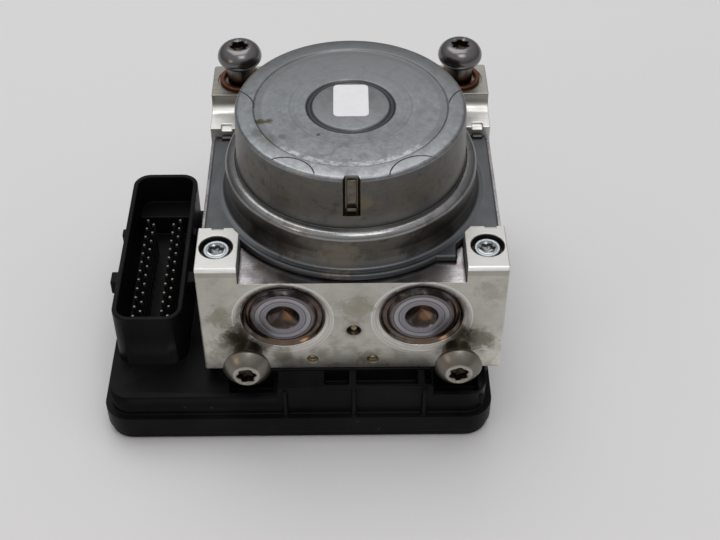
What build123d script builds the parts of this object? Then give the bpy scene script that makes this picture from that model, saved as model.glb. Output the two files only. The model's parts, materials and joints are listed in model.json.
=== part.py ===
"""Anti-lock brake module: pump motor, hydraulic block, valves and control unit.

The origin is where the motor axis meets the underside of the control unit's cover.
+X runs away from the plug socket, +Y towards the pipe ports, +Z up the motor axis.
All lengths are in millimetres.
"""
import os
from math import cos, radians, sin

from build123d import *

# ---------------------------------------------------------------- clearances
running_gap = 0.05          # between a moving piece and its bore, on the radius
thread_gap = 0.05           # between a screw's shank and its hole, on the radius
press_gap = 0.02            # between a pressed or staked piece and its seat, on the radius
loose_gap = 0.3             # between pieces of different bodies that only pass each other

# ---------------------------------------------------------------- control unit
unit_left = 76.8            # reach of the control unit from the motor axis, each way
unit_right = 43.2
unit_front = 53.2
unit_back = 37.0
unit_corner = 8.5
cover_thickness = 3.2
cover_inset = 0.7
cover_tongue = 1.4
cover_tongue_width = 1.5
cover_chamfer = 0.8
lip_top = 10.0
deck_top = 18.0
seat_top = 22.0             # face that carries the hydraulic block
unit_wall = 2.6
deck_thickness = 2.5
wall_inset = 2.2
coil_window = (69.5, 56.0)  # opening in the deck that the coils stand in
window_middle = (-0.25, 1.0)
gasket_margin = 1.0
gasket_width = 1.6
gasket_thickness = 1.2
seat_left = 41.5
seat_right = 40.2
seat_front = 43.9
seat_corner = 4.0
front_wall_top = 21.2
front_wall_reach = (-23.0, 24.5)
front_wall_thickness = 1.8
front_rib_places = (-20.6, 0.3, 21.7)
front_rib_width = 1.3
front_rib_step = 0.6        # how far a rib stays back from the lip's edge
slot_spans = ((-8.6, -1.2), (1.2, 19.8), (22.2, 24.0))
slot_depth = 4.5
bolt_pocket_spans = ((-37.5, -24.2), (24.8, 38.2))
bolt_pocket_floor = 13.5

# ---------------------------------------------------------------- plug socket
socket_left = 73.0
socket_right = 51.5
socket_front = 37.6
socket_back = 30.9
socket_top = 38.0
socket_corner = 5.5
socket_wall = 1.6
socket_floor = 19.5
socket_key_depth = 8.0
socket_key_top = 27.0
pin_width = 0.8
pin_top = 33.0
pin_pitch = 4.0
pin_rows_from = -31.0
pin_column_places = (-67.3, -65.3, -58.7, -56.7)
pin_counts = (12, 11, 11, 12)           # pins in each column
guide_places = ((-17.0, 2.4, 5.0), (4.0, 1.3, 3.2))     # y, reach, width
guide_height = 7.0
guide_drop = 2.0

# ---------------------------------------------------------------- circuit board
board_bottom = 5.2
board_thickness = 1.6
board_left = 70.0
board_right = 33.5
board_front = 45.5
board_back = 30.0
board_corner = 2.0
standoff_radius = 2.6
standoff_places = ((-65.0, -41.5), (29.0, -41.5), (-65.0, 26.5), (29.0, 26.5))

# ---------------------------------------------------------------- hydraulic block
block_width = 90.0
block_front = 43.2          # reach from the motor axis
block_back = 49.9
motor_face = 58.0           # level that the motor stands on
pad_rise = 5.4              # pads and ledge above the motor's face
pad_width = 12.1
pad_depth = 18.3
pad_edge = 1.1              # chamfer along a pad's front edge
ledge_front = 22.7
bar_front = 33.6
bar_rise = 10.6             # back bar above the motor's face
bar_fillet = 3.5
block_chamfer = 0.5
flange_radius = 42.4
flange_side = 44.0          # reach of the flange's side plates
flange_gap = 0.4            # round the flange

# ---------------------------------------------------------------- pipe ports
outlet_radius = 4.5
outlet_height = 46.0
outer_outlet_place = 33.0
outer_outlet_depth = 13.0
inner_outlet_place = 11.0
inner_outlet_depth = 14.0
inlet_radius = 5.5
inlet_height = 30.5
inlet_place = 15.0
inlet_depth = 15.0
port_face_extra = 2.6       # spot face beyond the thread
port_face_depth = 0.8

# ---------------------------------------------------------------- mounting bolts
bolt_radius = 4.0
bolt_depth = 13.0
bolt_neck_radius = 4.4
bolt_head_radius = 7.1
bolt_bowl = 2.8             # height of the head's underside, below its widest ring
bolt_bulge = 0.17           # of the head's arcs, as a share of their chords
bolt_flat_radius = 3.7
front_bolt_length = 10.0    # from the block's face to the crown
front_bolt_dome = 3.2       # from the head's widest ring to the crown
back_bolt_length = 13.7
back_bolt_dome = 4.1
recess_radius = 2.95
recess_depth = 2.6
star_waist = 0.76           # inner over outer radius of a driver recess
front_bolt_inset = (13.5, 7.5)          # in from the block's side, up from its underside
back_bolt_inset = (9.3, 7.5)            # in from the block's side and from its back
collar_radius = 7.0
collar_bore = 5.4
collar_thickness = 1.5
spot_face_radius = 7.6
spot_face_depth = 0.4

# ---------------------------------------------------------------- module screws
screw_inset = (5.7, 10.0)               # in from the block's side and from its front
screw_radius = 2.1
screw_hole_radius = 2.4
screw_head_radius = 3.9
screw_head_height = 2.7
screw_counterbore = 4.9
screw_counterbore_depth = 3.3
screw_boss_radius = 3.6
screw_head_edge = 0.5
screw_recess_radius = 2.25
screw_recess_depth = 1.6
screw_grip = 11.0           # length held by the control unit

# ---------------------------------------------------------------- motor can
sheet = 2.0
flange_thickness = 2.0
skirt_foot_radius = 39.2
skirt_radius = 38.2
skirt_height = 13.6
shoulder_round = 2.0
upper_foot_radius = 34.7
upper_radius = 34.1
rim_round = 1.2
rim_step_radius = 28.4
rim_step_depth = 0.45
boss_groove = (11.5, 13.1)
boss_groove_depth = 0.5
notch_width = 4.8
notch_height = 13.4
notch_depth = 1.3
tab_span = (24.6, 30.8)
tab_reach = 34.4
tab_roots = (31.4, 27.4)    # where the tab's sides start under the skirt
seal_radius = 38.5
seal_width = 1.6
seal_depth = 0.8

# ---------------------------------------------------------------- rotor
shaft_radius = 4.0
rear_bearing_radius = 8.0
rear_bearing_height = 4.0
bearing_seat_wall = 1.6
bearing_seal_parts = (3, 6)     # the bearing's width and height over those of a seal's recess
front_journal_radius = 5.0
front_bearing_radius = 11.0
front_bearing_height = 6.0
bearing_recess = 0.5
core_radius = 26.0
core_height = 9.0
winding_gap = 1.3           # between the commutator and the windings
rear_gap = 0.7              # between the windings and the rear bearing
core_slots = 10
slot_radius = 2.9
slot_circle = 20.0
slot_mouth = 1.8
coil_overhang = 2.4
coil_ring_inner = 15.0
coil_ring_outer = 24.0
commutator_radius = 9.0
commutator_rise = 3.6       # above the motor's face
commutator_height = 6.0
commutator_bars = 10
commutator_groove = 0.6
commutator_groove_depth = 0.8
air_gap = 0.9
magnet_count = 4
magnet_sweep = 72.0
magnet_height = 12.0

# ---------------------------------------------------------------- brush gear
brush_plate_thickness = 2.2
brush_width = 5.0
brush_height = 4.4
brush_rise = 0.6            # brushes above the commutator's lower end
brush_length = 8.0
brush_wall = 1.2
brush_spring_length = 6.0
brush_spring_radius = 1.5
brush_spring_wire = 0.25
brush_spring_turns = 5
brush_plate_gap = 0.2
lead_post_end = 12.0
terminal_place = 22.0
terminal_post_radius = 4.4
terminal_width = 0.9
terminal_spread = 2.0

# ---------------------------------------------------------------- pump
chamber_above = 3.7         # between the eccentric's ring and the front bearing
chamber_below = 3.0         # between the ring and the chamber's floor
eccentricity = 1.0
eccentric_radius = 5.5
ring_radius = 8.5
ring_height = 7.6
chamber_radius = 10.5
pump_bore = 6.0
pump_piston_radius = 3.0
pump_piston_length = 13.2
pump_collar_radius = 3.9
pump_collar_length = 0.7
sleeve_start = 12.0
sleeve_end = 33.0
sleeve_room_radius = 4.3
pump_plug_recess = 0.6
pump_spring_radius = 3.3
pump_spring_wire = 0.35
pump_plug_dimple = 2.0
pump_plug_edge = 1.0
pump_spring_turns = 5

# ---------------------------------------------------------------- accumulators
accumulator_place = (20.5, 43.3)        # x, z
spot_ring_radius = 14.75
spot_ring_depth = 1.0       # of its inner edge, from which it slopes up to the face
cap_radius = 12.4
cap_thickness = 3.6
cap_disc_radius = 9.3
cap_sink = 0.6              # of the disc's face below the block's
cap_groove_depth = 1.7
cap_lip = 0.5
cap_boss_radius = 5.6
cap_boss_length = 2.0
cap_dimple_radius = 4.9
cap_dimple_depth = 4.0
accumulator_radius = 11.0
accumulator_end = 19.0                  # reach of the bore's end from the motor axis
accumulator_piston_length = 8.5
piston_cup_radius = 8.2
piston_cup_depth = 3.0
ring_groove_floor = 9.4
ring_groove_width = 2.4
ring_groove_from_end = 1.6
accumulator_spring_radius = 6.9
accumulator_spring_wire = 0.6
accumulator_spring_turns = 5
spring_end = 1.2            # from a spring's end to its wire's middle, in wire thicknesses

# ---------------------------------------------------------------- valves
valve_pitch = 17.2
valve_columns = [valve_pitch * (number - 1.5) for number in range(4)]
inlet_valve_row = 9.0
outlet_valve_row = -11.0
valve_radius = 5.0
valve_clear = 3.0           # between the valves' bores and the pump's
valve_end_gap = 0.3
dome_radius = 3.2
dome_end = 10.0
dome_wall = 0.6
dome_cap = 0.8
plunger_room_top = 20.6
plunger_travel = 0.3
plunger_end_gap = 0.1
needle_radius = 0.9
needle_length = 10.0
needle_room = 31.0
inlet_groove = 28.0         # height of the inlet valves' filter groove
outlet_groove = 31.0
valve_groove_depth = 1.0
valve_groove_width = 2.0
coil_radius = 7.0
coil_bottom = 9.2
coil_height = 11.0
coil_flange = 1.2
coil_waist = 0.6
coil_gap = 0.1
coil_lead = (1.0, 0.8)
coil_lead_spread = 5.0

# ---------------------------------------------------------------- small plugs
ball_plug_places = ((-12.1, 26.0), (6.1, 25.8))
ball_plug_radius = 1.8
drill_radius = 1.0
middle_plug_place = (0.4, 38.3)
middle_plug_radius = 2.1
plug_sink = 0.5

# ---------------------------------------------------------------- parts on the board
controller_place = (-44.0, -6.0)
controller_size = (16.0, 16.0, 1.6)
driver_places = ((-12.0, -36.5), (8.0, -36.5))
driver_size = (12.0, 9.0, 2.0)
capacitor_rows = (-34.0, 18.0)
capacitor_gap = 0.1         # to the boss of a module screw
capacitor_radius = 4.0
capacitor_height = 8.0

board_top = board_bottom + board_thickness
half_width = block_width / 2
pad_top = motor_face + pad_rise
bar_top = motor_face + bar_rise
pocket_radius = flange_radius + flange_gap
# one entry for each pair of pipe ports: x, z, radius, depth
ports = ((outer_outlet_place, outlet_height, outlet_radius, outer_outlet_depth),
         (inner_outlet_place, outlet_height, outlet_radius, inner_outlet_depth),
         (inlet_place, inlet_height, inlet_radius, inlet_depth))
front_bolt_place = (half_width - front_bolt_inset[0], seat_top + front_bolt_inset[1])
back_bolt_place = (half_width - back_bolt_inset[0], block_back - back_bolt_inset[1])
screw_place = (half_width - screw_inset[0], screw_inset[1] - block_front)
capacitor_column = -(screw_place[0] + screw_boss_radius + capacitor_gap + capacitor_radius)
# the motor, stacked from the block upwards
commutator_bottom = motor_face + commutator_rise
brush_floor = commutator_bottom + brush_rise
core_bottom = commutator_bottom + commutator_height + winding_gap + coil_overhang
core_middle = core_bottom + core_height / 2
rear_bearing_bottom = core_bottom + core_height + coil_overhang + rear_gap
top_inside = rear_bearing_bottom + rear_bearing_height
can_top = top_inside + sheet
shoulder_height = motor_face + skirt_height
magnet_radius = upper_radius - sheet
# the pump, stacked from the front bearing downwards
bearing_bottom = motor_face - bearing_recess - front_bearing_height
pump_height = bearing_bottom - chamber_above - ring_height / 2
chamber_floor = pump_height - ring_height / 2 - chamber_below
valve_bore_top = pump_height - pump_bore - valve_clear
valve_body_top = valve_bore_top - valve_end_gap
stroke_clear = eccentricity + ring_radius + loose_gap
cap_seat = block_front - cap_thickness
unit_middle = ((unit_right - unit_left) / 2, (unit_back - unit_front) / 2)
unit_size = (unit_left + unit_right, unit_front + unit_back)

os.makedirs("parts", exist_ok=True)


def star(outer, inner, lobes=6):
    """Corners of a six-lobed driver recess."""
    corners = []
    for step in range(2 * lobes):
        reach = outer if step % 2 == 0 else inner
        angle = radians(180 * step / lobes)
        corners.append((reach * cos(angle), reach * sin(angle)))
    return corners


def outward(x, z):
    """Plane of an accumulator's section: local x is the radius, local y is the model's +Y."""
    return Plane(origin=(x, 0, z), x_dir=(1, 0, 0), z_dir=(0, 0, 1))


def upright(x, y):
    """Plane of a vertical section: local x is the radius, local y is the height."""
    return Plane(origin=(x, y, 0), x_dir=(1, 0, 0), z_dir=(0, -1, 0))


# ================================================================ hydraulic block
with BuildPart() as hydraulic_block:
    with BuildSketch(Plane.XY.offset(seat_top)):
        with Locations((0, (block_back - block_front) / 2)):
            Rectangle(block_width, block_back + block_front)
    extrude(amount=bar_top - seat_top)
    # the top steps down from the back bar to the ledge and to the motor's face
    with BuildSketch(Plane.XY.offset(pad_top)):
        with Locations((0, bar_front)):
            Rectangle(block_width, bar_front + block_front, align=(Align.CENTER, Align.MAX))
    extrude(amount=bar_top - pad_top, mode=Mode.SUBTRACT)
    foot = hydraulic_block.edges().filter_by(Axis.X).filter_by_position(
        Axis.Y, bar_front - 0.01, bar_front + 0.01).sort_by(Axis.Z)[0]
    fillet(foot, bar_fillet)
    with BuildSketch(Plane.XY.offset(motor_face)):
        Circle(pocket_radius)
        with Locations((0, ledge_front)):
            Rectangle(block_width, ledge_front + block_front - pad_depth, align=(Align.CENTER, Align.MAX))
        with Locations((0, -block_front)):
            Rectangle(block_width - 2 * pad_width, block_front, align=(Align.CENTER, Align.MIN))
    extrude(amount=bar_top - motor_face, mode=Mode.SUBTRACT)
    # outer edges
    uprights = hydraulic_block.edges().filter_by(Axis.Z).filter_by(
        lambda e: e.length > motor_face - seat_top)
    chamfer(uprights, block_chamfer)
    pad_fronts = hydraulic_block.edges().filter_by(Axis.X).filter_by(
        lambda e: e.center().Z > pad_top - block_chamfer and e.center().Y < block_chamfer - block_front)
    chamfer(pad_fronts, pad_edge)
    # motor seal groove, bearing seat and eccentric chamber
    with BuildSketch(Plane.XY.offset(motor_face)):
        Circle(seal_radius + seal_width)
        Circle(seal_radius, mode=Mode.SUBTRACT)
    extrude(amount=-seal_depth, mode=Mode.SUBTRACT)
    with BuildSketch(Plane.XY.offset(motor_face)):
        Circle(front_bearing_radius)
    extrude(amount=bearing_bottom - motor_face, mode=Mode.SUBTRACT)
    with BuildSketch(Plane.XY.offset(bearing_bottom)):
        Circle(chamber_radius)
    extrude(amount=chamber_floor - bearing_bottom, mode=Mode.SUBTRACT)
    # pump bores run from both sides into the chamber
    with BuildSketch(Plane.YZ.offset(-half_width)):
        with Locations((0, pump_height)):
            Circle(pump_bore)
    extrude(amount=block_width, mode=Mode.SUBTRACT)
    # accumulator bores
    for side in (-1, 1):
        cap_x, cap_z = side * accumulator_place[0], accumulator_place[1]
        with BuildSketch(outward(cap_x, cap_z)):
            with BuildLine():
                Polyline(
                    (0, -block_front), (spot_ring_radius, -block_front),
                    (cap_radius + press_gap, -block_front + spot_ring_depth),
                    (cap_radius + press_gap, -cap_seat), (accumulator_radius, -cap_seat),
                    (accumulator_radius, -accumulator_end), (0, -accumulator_end), close=True)
            make_face()
        revolve(axis=Axis((cap_x, 0, cap_z), (0, 1, 0)), mode=Mode.SUBTRACT)
    # valve bores from below
    with BuildSketch(Plane.XY.offset(seat_top)):
        for row in (inlet_valve_row, outlet_valve_row):
            with Locations(*[(column, row) for column in valve_columns]):
                Circle(valve_radius)
    extrude(amount=valve_bore_top - seat_top, mode=Mode.SUBTRACT)
    # passage for the motor's leads
    with BuildSketch(Plane.XY.offset(seat_top)):
        with Locations((0, terminal_place)):
            Circle(terminal_post_radius + press_gap)
    extrude(amount=motor_face - seat_top, mode=Mode.SUBTRACT)
    # pipe ports with their spot faces
    for place, height, radius, depth in ports:
        for reach, cut in ((radius + port_face_extra, port_face_depth), (radius, depth)):
            with BuildSketch(Plane.XZ.offset(-block_back)):
                with Locations((-place, height), (place, height)):
                    Circle(reach)
            extrude(amount=cut, mode=Mode.SUBTRACT)
    # mounting bolt holes
    with BuildSketch(Plane.XZ.offset(block_front)):
        with Locations(*[(side * front_bolt_place[0], front_bolt_place[1]) for side in (-1, 1)]):
            Circle(bolt_radius)
    extrude(amount=-bolt_depth, mode=Mode.SUBTRACT)
    with BuildSketch(Plane.XY.offset(bar_top)):
        with Locations(*[(side * back_bolt_place[0], back_bolt_place[1]) for side in (-1, 1)]):
            Circle(bolt_radius)
    extrude(amount=-bolt_depth, mode=Mode.SUBTRACT)
    with BuildSketch(Plane.XY.offset(bar_top)):
        with Locations(*[(side * back_bolt_place[0], back_bolt_place[1]) for side in (-1, 1)]):
            Circle(spot_face_radius)
    extrude(amount=-spot_face_depth, mode=Mode.SUBTRACT)
    # module screw holes through the front pads
    with Locations(*[(side * screw_place[0], screw_place[1], pad_top) for side in (-1, 1)]):
        CounterBoreHole(screw_hole_radius, screw_counterbore, screw_counterbore_depth,
                        depth=pad_top - seat_top)
    # drillings closed by small plugs
    with BuildSketch(Plane.XZ.offset(block_front)):
        with Locations(*ball_plug_places):
            Circle(ball_plug_radius)
        with Locations(middle_plug_place):
            Circle(middle_plug_radius)
    extrude(amount=-(2 * ball_plug_radius + plug_sink), mode=Mode.SUBTRACT)
    with BuildSketch(Plane.XZ.offset(block_front)):
        with Locations(*ball_plug_places):
            Circle(drill_radius)
    extrude(amount=-(block_front + outlet_valve_row), mode=Mode.SUBTRACT)
    with BuildSketch(Plane.XZ.offset(block_front)):
        with Locations(middle_plug_place):
            Circle(drill_radius)
    extrude(amount=chamber_radius - block_front - drill_radius, mode=Mode.SUBTRACT)
hydraulic_block.part.label = "hydraulic_block"
export_step(hydraulic_block.part, "parts/hydraulic_block.step")

with BuildPart() as motor_seal:
    with BuildSketch(Plane.XY.offset(motor_face)):
        Circle(seal_radius + seal_width)
        Circle(seal_radius, mode=Mode.SUBTRACT)
    extrude(amount=-seal_depth)
motor_seal.part.label = "motor_seal"
export_step(motor_seal.part, "parts/motor_seal.step")

# ================================================================ motor
with BuildPart() as motor_can:
    with BuildSketch(upright(0, 0)) as can_section:
        with BuildLine():
            Polyline(
                (skirt_foot_radius - sheet, motor_face), (flange_radius, motor_face),
                (flange_radius, motor_face + flange_thickness),
                (skirt_foot_radius, motor_face + flange_thickness),
                (skirt_radius, shoulder_height), (upper_foot_radius, shoulder_height),
                (upper_radius, can_top), (rim_step_radius, can_top),
                (rim_step_radius, can_top - rim_step_depth),
                (boss_groove[1], can_top - rim_step_depth),
                (boss_groove[1], can_top - rim_step_depth - boss_groove_depth),
                (boss_groove[0], can_top - rim_step_depth - boss_groove_depth),
                (boss_groove[0], can_top - rim_step_depth), (0, can_top - rim_step_depth),
                (0, top_inside), (rear_bearing_radius, top_inside),
                (rear_bearing_radius, rear_bearing_bottom),
                (rear_bearing_radius + bearing_seat_wall, rear_bearing_bottom),
                (rear_bearing_radius + bearing_seat_wall, top_inside), (magnet_radius, top_inside),
                (magnet_radius, shoulder_height - sheet), (skirt_radius - sheet, shoulder_height - sheet),
                close=True)
        make_face()
        rounded = can_section.vertices().filter_by(
            lambda v: abs(v.Z - shoulder_height) < 0.01 and v.X > skirt_radius - 0.1)
        fillet(rounded, shoulder_round)
        rounded = can_section.vertices().filter_by(
            lambda v: abs(v.Z - can_top) < 0.01 and v.X > upper_radius - 0.1)
        fillet(rounded, rim_round)
    revolve(axis=Axis.Z)
    # flange plates that fill the block's recess on both sides
    with BuildSketch(Plane.XY.offset(motor_face)):
        with Locations((0, ledge_front - flange_gap)):
            Rectangle(2 * flange_side, ledge_front + block_front - pad_depth - 2 * flange_gap,
                      align=(Align.CENTER, Align.MAX))
        Circle(skirt_foot_radius - sheet / 2, mode=Mode.SUBTRACT)
    extrude(amount=flange_thickness)
    # locating notch pressed into the upper wall
    with BuildSketch(Plane.XZ.offset(upper_radius - notch_depth)):
        with Locations((0, can_top)):
            Rectangle(notch_width, notch_height, align=(Align.CENTER, Align.MAX))
    extrude(amount=upper_foot_radius - upper_radius + 2 * notch_depth, mode=Mode.SUBTRACT)
    # tab on the flange's front edge
    with BuildSketch(Plane.XY.offset(motor_face)):
        with BuildLine():
            Polyline((tab_span[0], -tab_roots[0]), (tab_span[0], -tab_reach),
                     (tab_span[1], -tab_reach), (tab_span[1], -tab_roots[1]), close=True)
        make_face()
        Circle(skirt_foot_radius - sheet / 2, mode=Mode.SUBTRACT)
    extrude(amount=flange_thickness)
motor_can.part.label = "motor_can"
export_step(motor_can.part, "parts/motor_can.step")

with BuildPart() as motor_magnets:
    with BuildSketch(Plane.XY.offset(core_middle - magnet_height / 2)):
        for turn in range(magnet_count):
            start = 360 / magnet_count * (turn + 0.5) - magnet_sweep / 2
            with BuildLine():
                outside = CenterArc((0, 0), magnet_radius - press_gap, start, magnet_sweep)
                inside = CenterArc((0, 0), core_radius + air_gap, start, magnet_sweep)
                Line(outside @ 0, inside @ 0)
                Line(outside @ 1, inside @ 1)
            make_face()
    extrude(amount=magnet_height)
motor_magnets.part.label = "motor_magnets"
export_step(motor_magnets.part, "parts/motor_magnets.step")

# ball bearings at the rotor's two ends
for name, bottom, height, outer, inner in (
        ("rear_bearing", rear_bearing_bottom, rear_bearing_height, rear_bearing_radius, shaft_radius),
        ("front_bearing", bearing_bottom, front_bearing_height, front_bearing_radius, front_journal_radius)):
    middle = (outer + inner) / 2
    with BuildPart() as bearing:
        with BuildSketch(upright(0, 0)):
            with Locations((middle, bottom + height / 2)):
                Rectangle(outer - inner - press_gap - running_gap, height)
            for end in (bottom, bottom + height):
                with Locations((middle, end)):
                    Rectangle((outer - inner) / bearing_seal_parts[0], height / bearing_seal_parts[1],
                          mode=Mode.SUBTRACT)
        revolve(axis=Axis.Z)
    bearing.part.label = name
    export_step(bearing.part, f"parts/{name}.step")

# one turned piece: rear journal, front journal, pump eccentric with its collar
with BuildPart() as rotor_shaft:
    with BuildSketch(Plane.XY.offset(commutator_bottom)):
        Circle(shaft_radius)
    extrude(amount=top_inside - loose_gap - commutator_bottom)
    with BuildSketch(Plane.XY.offset(commutator_bottom)):
        Circle(front_journal_radius)
    extrude(amount=bearing_bottom - loose_gap * 2 - commutator_bottom)
    with BuildSketch(Plane.XY.offset(pump_height - ring_height / 2 - running_gap)):
        with Locations((eccentricity, 0)):
            Circle(eccentric_radius)
    extrude(amount=ring_height + 2 * running_gap)
    with BuildSketch(Plane.XY.offset(pump_height + ring_height / 2 + running_gap)):
        Circle(front_journal_radius - eccentricity)
    extrude(amount=bearing_bottom - pump_height - ring_height / 2)
    with BuildSketch(Plane.XY.offset(pump_height - ring_height / 2 - running_gap)):
        with Locations((eccentricity, 0)):
            Circle((eccentric_radius + ring_radius) / 2)
    extrude(amount=-1.0)
rotor_shaft.part.label = "rotor_shaft"
export_step(rotor_shaft.part, "parts/rotor_shaft.step")

with BuildPart() as armature_core:
    with BuildSketch(Plane.XY.offset(core_bottom)):
        Circle(core_radius)
        Circle(shaft_radius + press_gap, mode=Mode.SUBTRACT)
        with PolarLocations(slot_circle, core_slots):
            Circle(slot_radius, mode=Mode.SUBTRACT)
            Rectangle(core_radius, slot_mouth, align=(Align.MIN, Align.CENTER), mode=Mode.SUBTRACT)
    extrude(amount=core_height)
armature_core.part.label = "armature_core"
export_step(armature_core.part, "parts/armature_core.step")

# end turns above and below the core, joined by the wires in its slots
with BuildPart() as armature_windings:
    for level in (core_bottom - coil_overhang, core_bottom + core_height):
        with BuildSketch(Plane.XY.offset(level)):
            Circle(coil_ring_outer)
            Circle(coil_ring_inner, mode=Mode.SUBTRACT)
        extrude(amount=coil_overhang)
    with BuildSketch(Plane.XY.offset(core_bottom)):
        with PolarLocations(slot_circle, core_slots):
            Circle(slot_radius - press_gap)
    extrude(amount=core_height)
armature_windings.part.label = "armature_windings"
export_step(armature_windings.part, "parts/armature_windings.step")

with BuildPart() as commutator:
    with BuildSketch(Plane.XY.offset(commutator_bottom)):
        Circle(commutator_radius)
        Circle(shaft_radius + press_gap, mode=Mode.SUBTRACT)
        with PolarLocations(commutator_radius, commutator_bars):
            Rectangle(commutator_groove_depth * 2, commutator_groove, mode=Mode.SUBTRACT)
    extrude(amount=commutator_height)
commutator.part.label = "commutator"
export_step(commutator.part, "parts/commutator.step")

with BuildPart() as eccentric_ring:
    with BuildSketch(Plane.XY.offset(pump_height - ring_height / 2)):
        with Locations((eccentricity, 0)):
            Circle(ring_radius)
            Circle(eccentric_radius + running_gap, mode=Mode.SUBTRACT)
    extrude(amount=ring_height)
eccentric_ring.part.label = "eccentric_ring"
export_step(eccentric_ring.part, "parts/eccentric_ring.step")

# brush plate: a disc on the block, two brush holders above it and a lead post below it
plate_top = motor_face + brush_plate_thickness
holder_start = commutator_radius + brush_wall
holder_end = commutator_radius + brush_length + brush_spring_length + brush_wall
with BuildPart() as brush_plate:
    with BuildSketch(Plane.XY.offset(motor_face)):
        Circle(skirt_foot_radius - sheet - 2 * brush_plate_gap)
        Circle(commutator_radius + brush_wall, mode=Mode.SUBTRACT)
    extrude(amount=brush_plate_thickness)
    with BuildSketch(Plane.XY.offset(plate_top)):
        for side in (-1, 1):
            with Locations((0, side * (holder_start + holder_end) / 2)):
                Rectangle(brush_width + 2 * brush_wall, holder_end - holder_start)
    extrude(amount=brush_floor + brush_height + brush_wall - plate_top)
    for side in (-1, 1):
        with BuildSketch(Plane.XY.offset(brush_floor)):
            with Locations((0, side * (holder_end - brush_wall) / 2)):
                Rectangle(brush_width + 2 * running_gap, holder_end - brush_wall)
        extrude(amount=brush_height + 2 * running_gap, mode=Mode.SUBTRACT)
    with BuildSketch(Plane.XY.offset(motor_face)):
        with Locations((0, terminal_place)):
            Circle(terminal_post_radius)
    extrude(amount=lead_post_end - motor_face)
    with BuildSketch(Plane.XY.offset(lead_post_end)):
        with Locations((-terminal_spread, terminal_place), (terminal_spread, terminal_place)):
            Rectangle(terminal_width, terminal_width)
    extrude(amount=plate_top - lead_post_end, mode=Mode.SUBTRACT)
brush_plate.part.label = "brush_plate"
export_step(brush_plate.part, "parts/brush_plate.step")

with BuildPart() as brushes:
    for side in (-1, 1):
        with BuildSketch(Plane.XY.offset(brush_floor + running_gap)):
            Rectangle(brush_width, commutator_radius + brush_length,
                      align=(Align.CENTER, Align.MIN if side > 0 else Align.MAX))
            Circle(commutator_radius + running_gap, mode=Mode.SUBTRACT)
        extrude(amount=brush_height)
brushes.part.label = "brushes"
export_step(brushes.part, "parts/brushes.step")

with BuildPart() as motor_terminals:
    with BuildSketch(Plane.XY.offset(board_top)):
        with Locations((-terminal_spread, terminal_place), (terminal_spread, terminal_place)):
            Rectangle(terminal_width, terminal_width)
    extrude(amount=plate_top - board_top)
motor_terminals.part.label = "motor_terminals"
export_step(motor_terminals.part, "parts/motor_terminals.step")


def coil_spring(start, direction, length, radius, wire, turns):
    """Coil spring between two seats, its wire drawn with six flats."""
    rise = length - 2 * spring_end * wire
    foot = Vector(start) + Vector(direction) * (spring_end * wire)
    with BuildPart() as spring:
        with BuildLine() as coil:
            Helix(pitch=rise / turns, height=rise, radius=radius, center=foot, direction=direction)
        with BuildSketch(Plane(origin=coil.line @ 0, z_dir=coil.line % 0)):
            RegularPolygon(wire, 6)
        sweep(is_frenet=True)
    return spring.part


with BuildPart() as brush_springs:
    for side in (-1, 1):
        add(coil_spring((0, side * (commutator_radius + brush_length), brush_floor + brush_height / 2),
                        (0, side, 0), brush_spring_length, brush_spring_radius, brush_spring_wire,
                        brush_spring_turns))
brush_springs.part.label = "brush_springs"
export_step(brush_springs.part, "parts/brush_springs.step")

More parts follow.
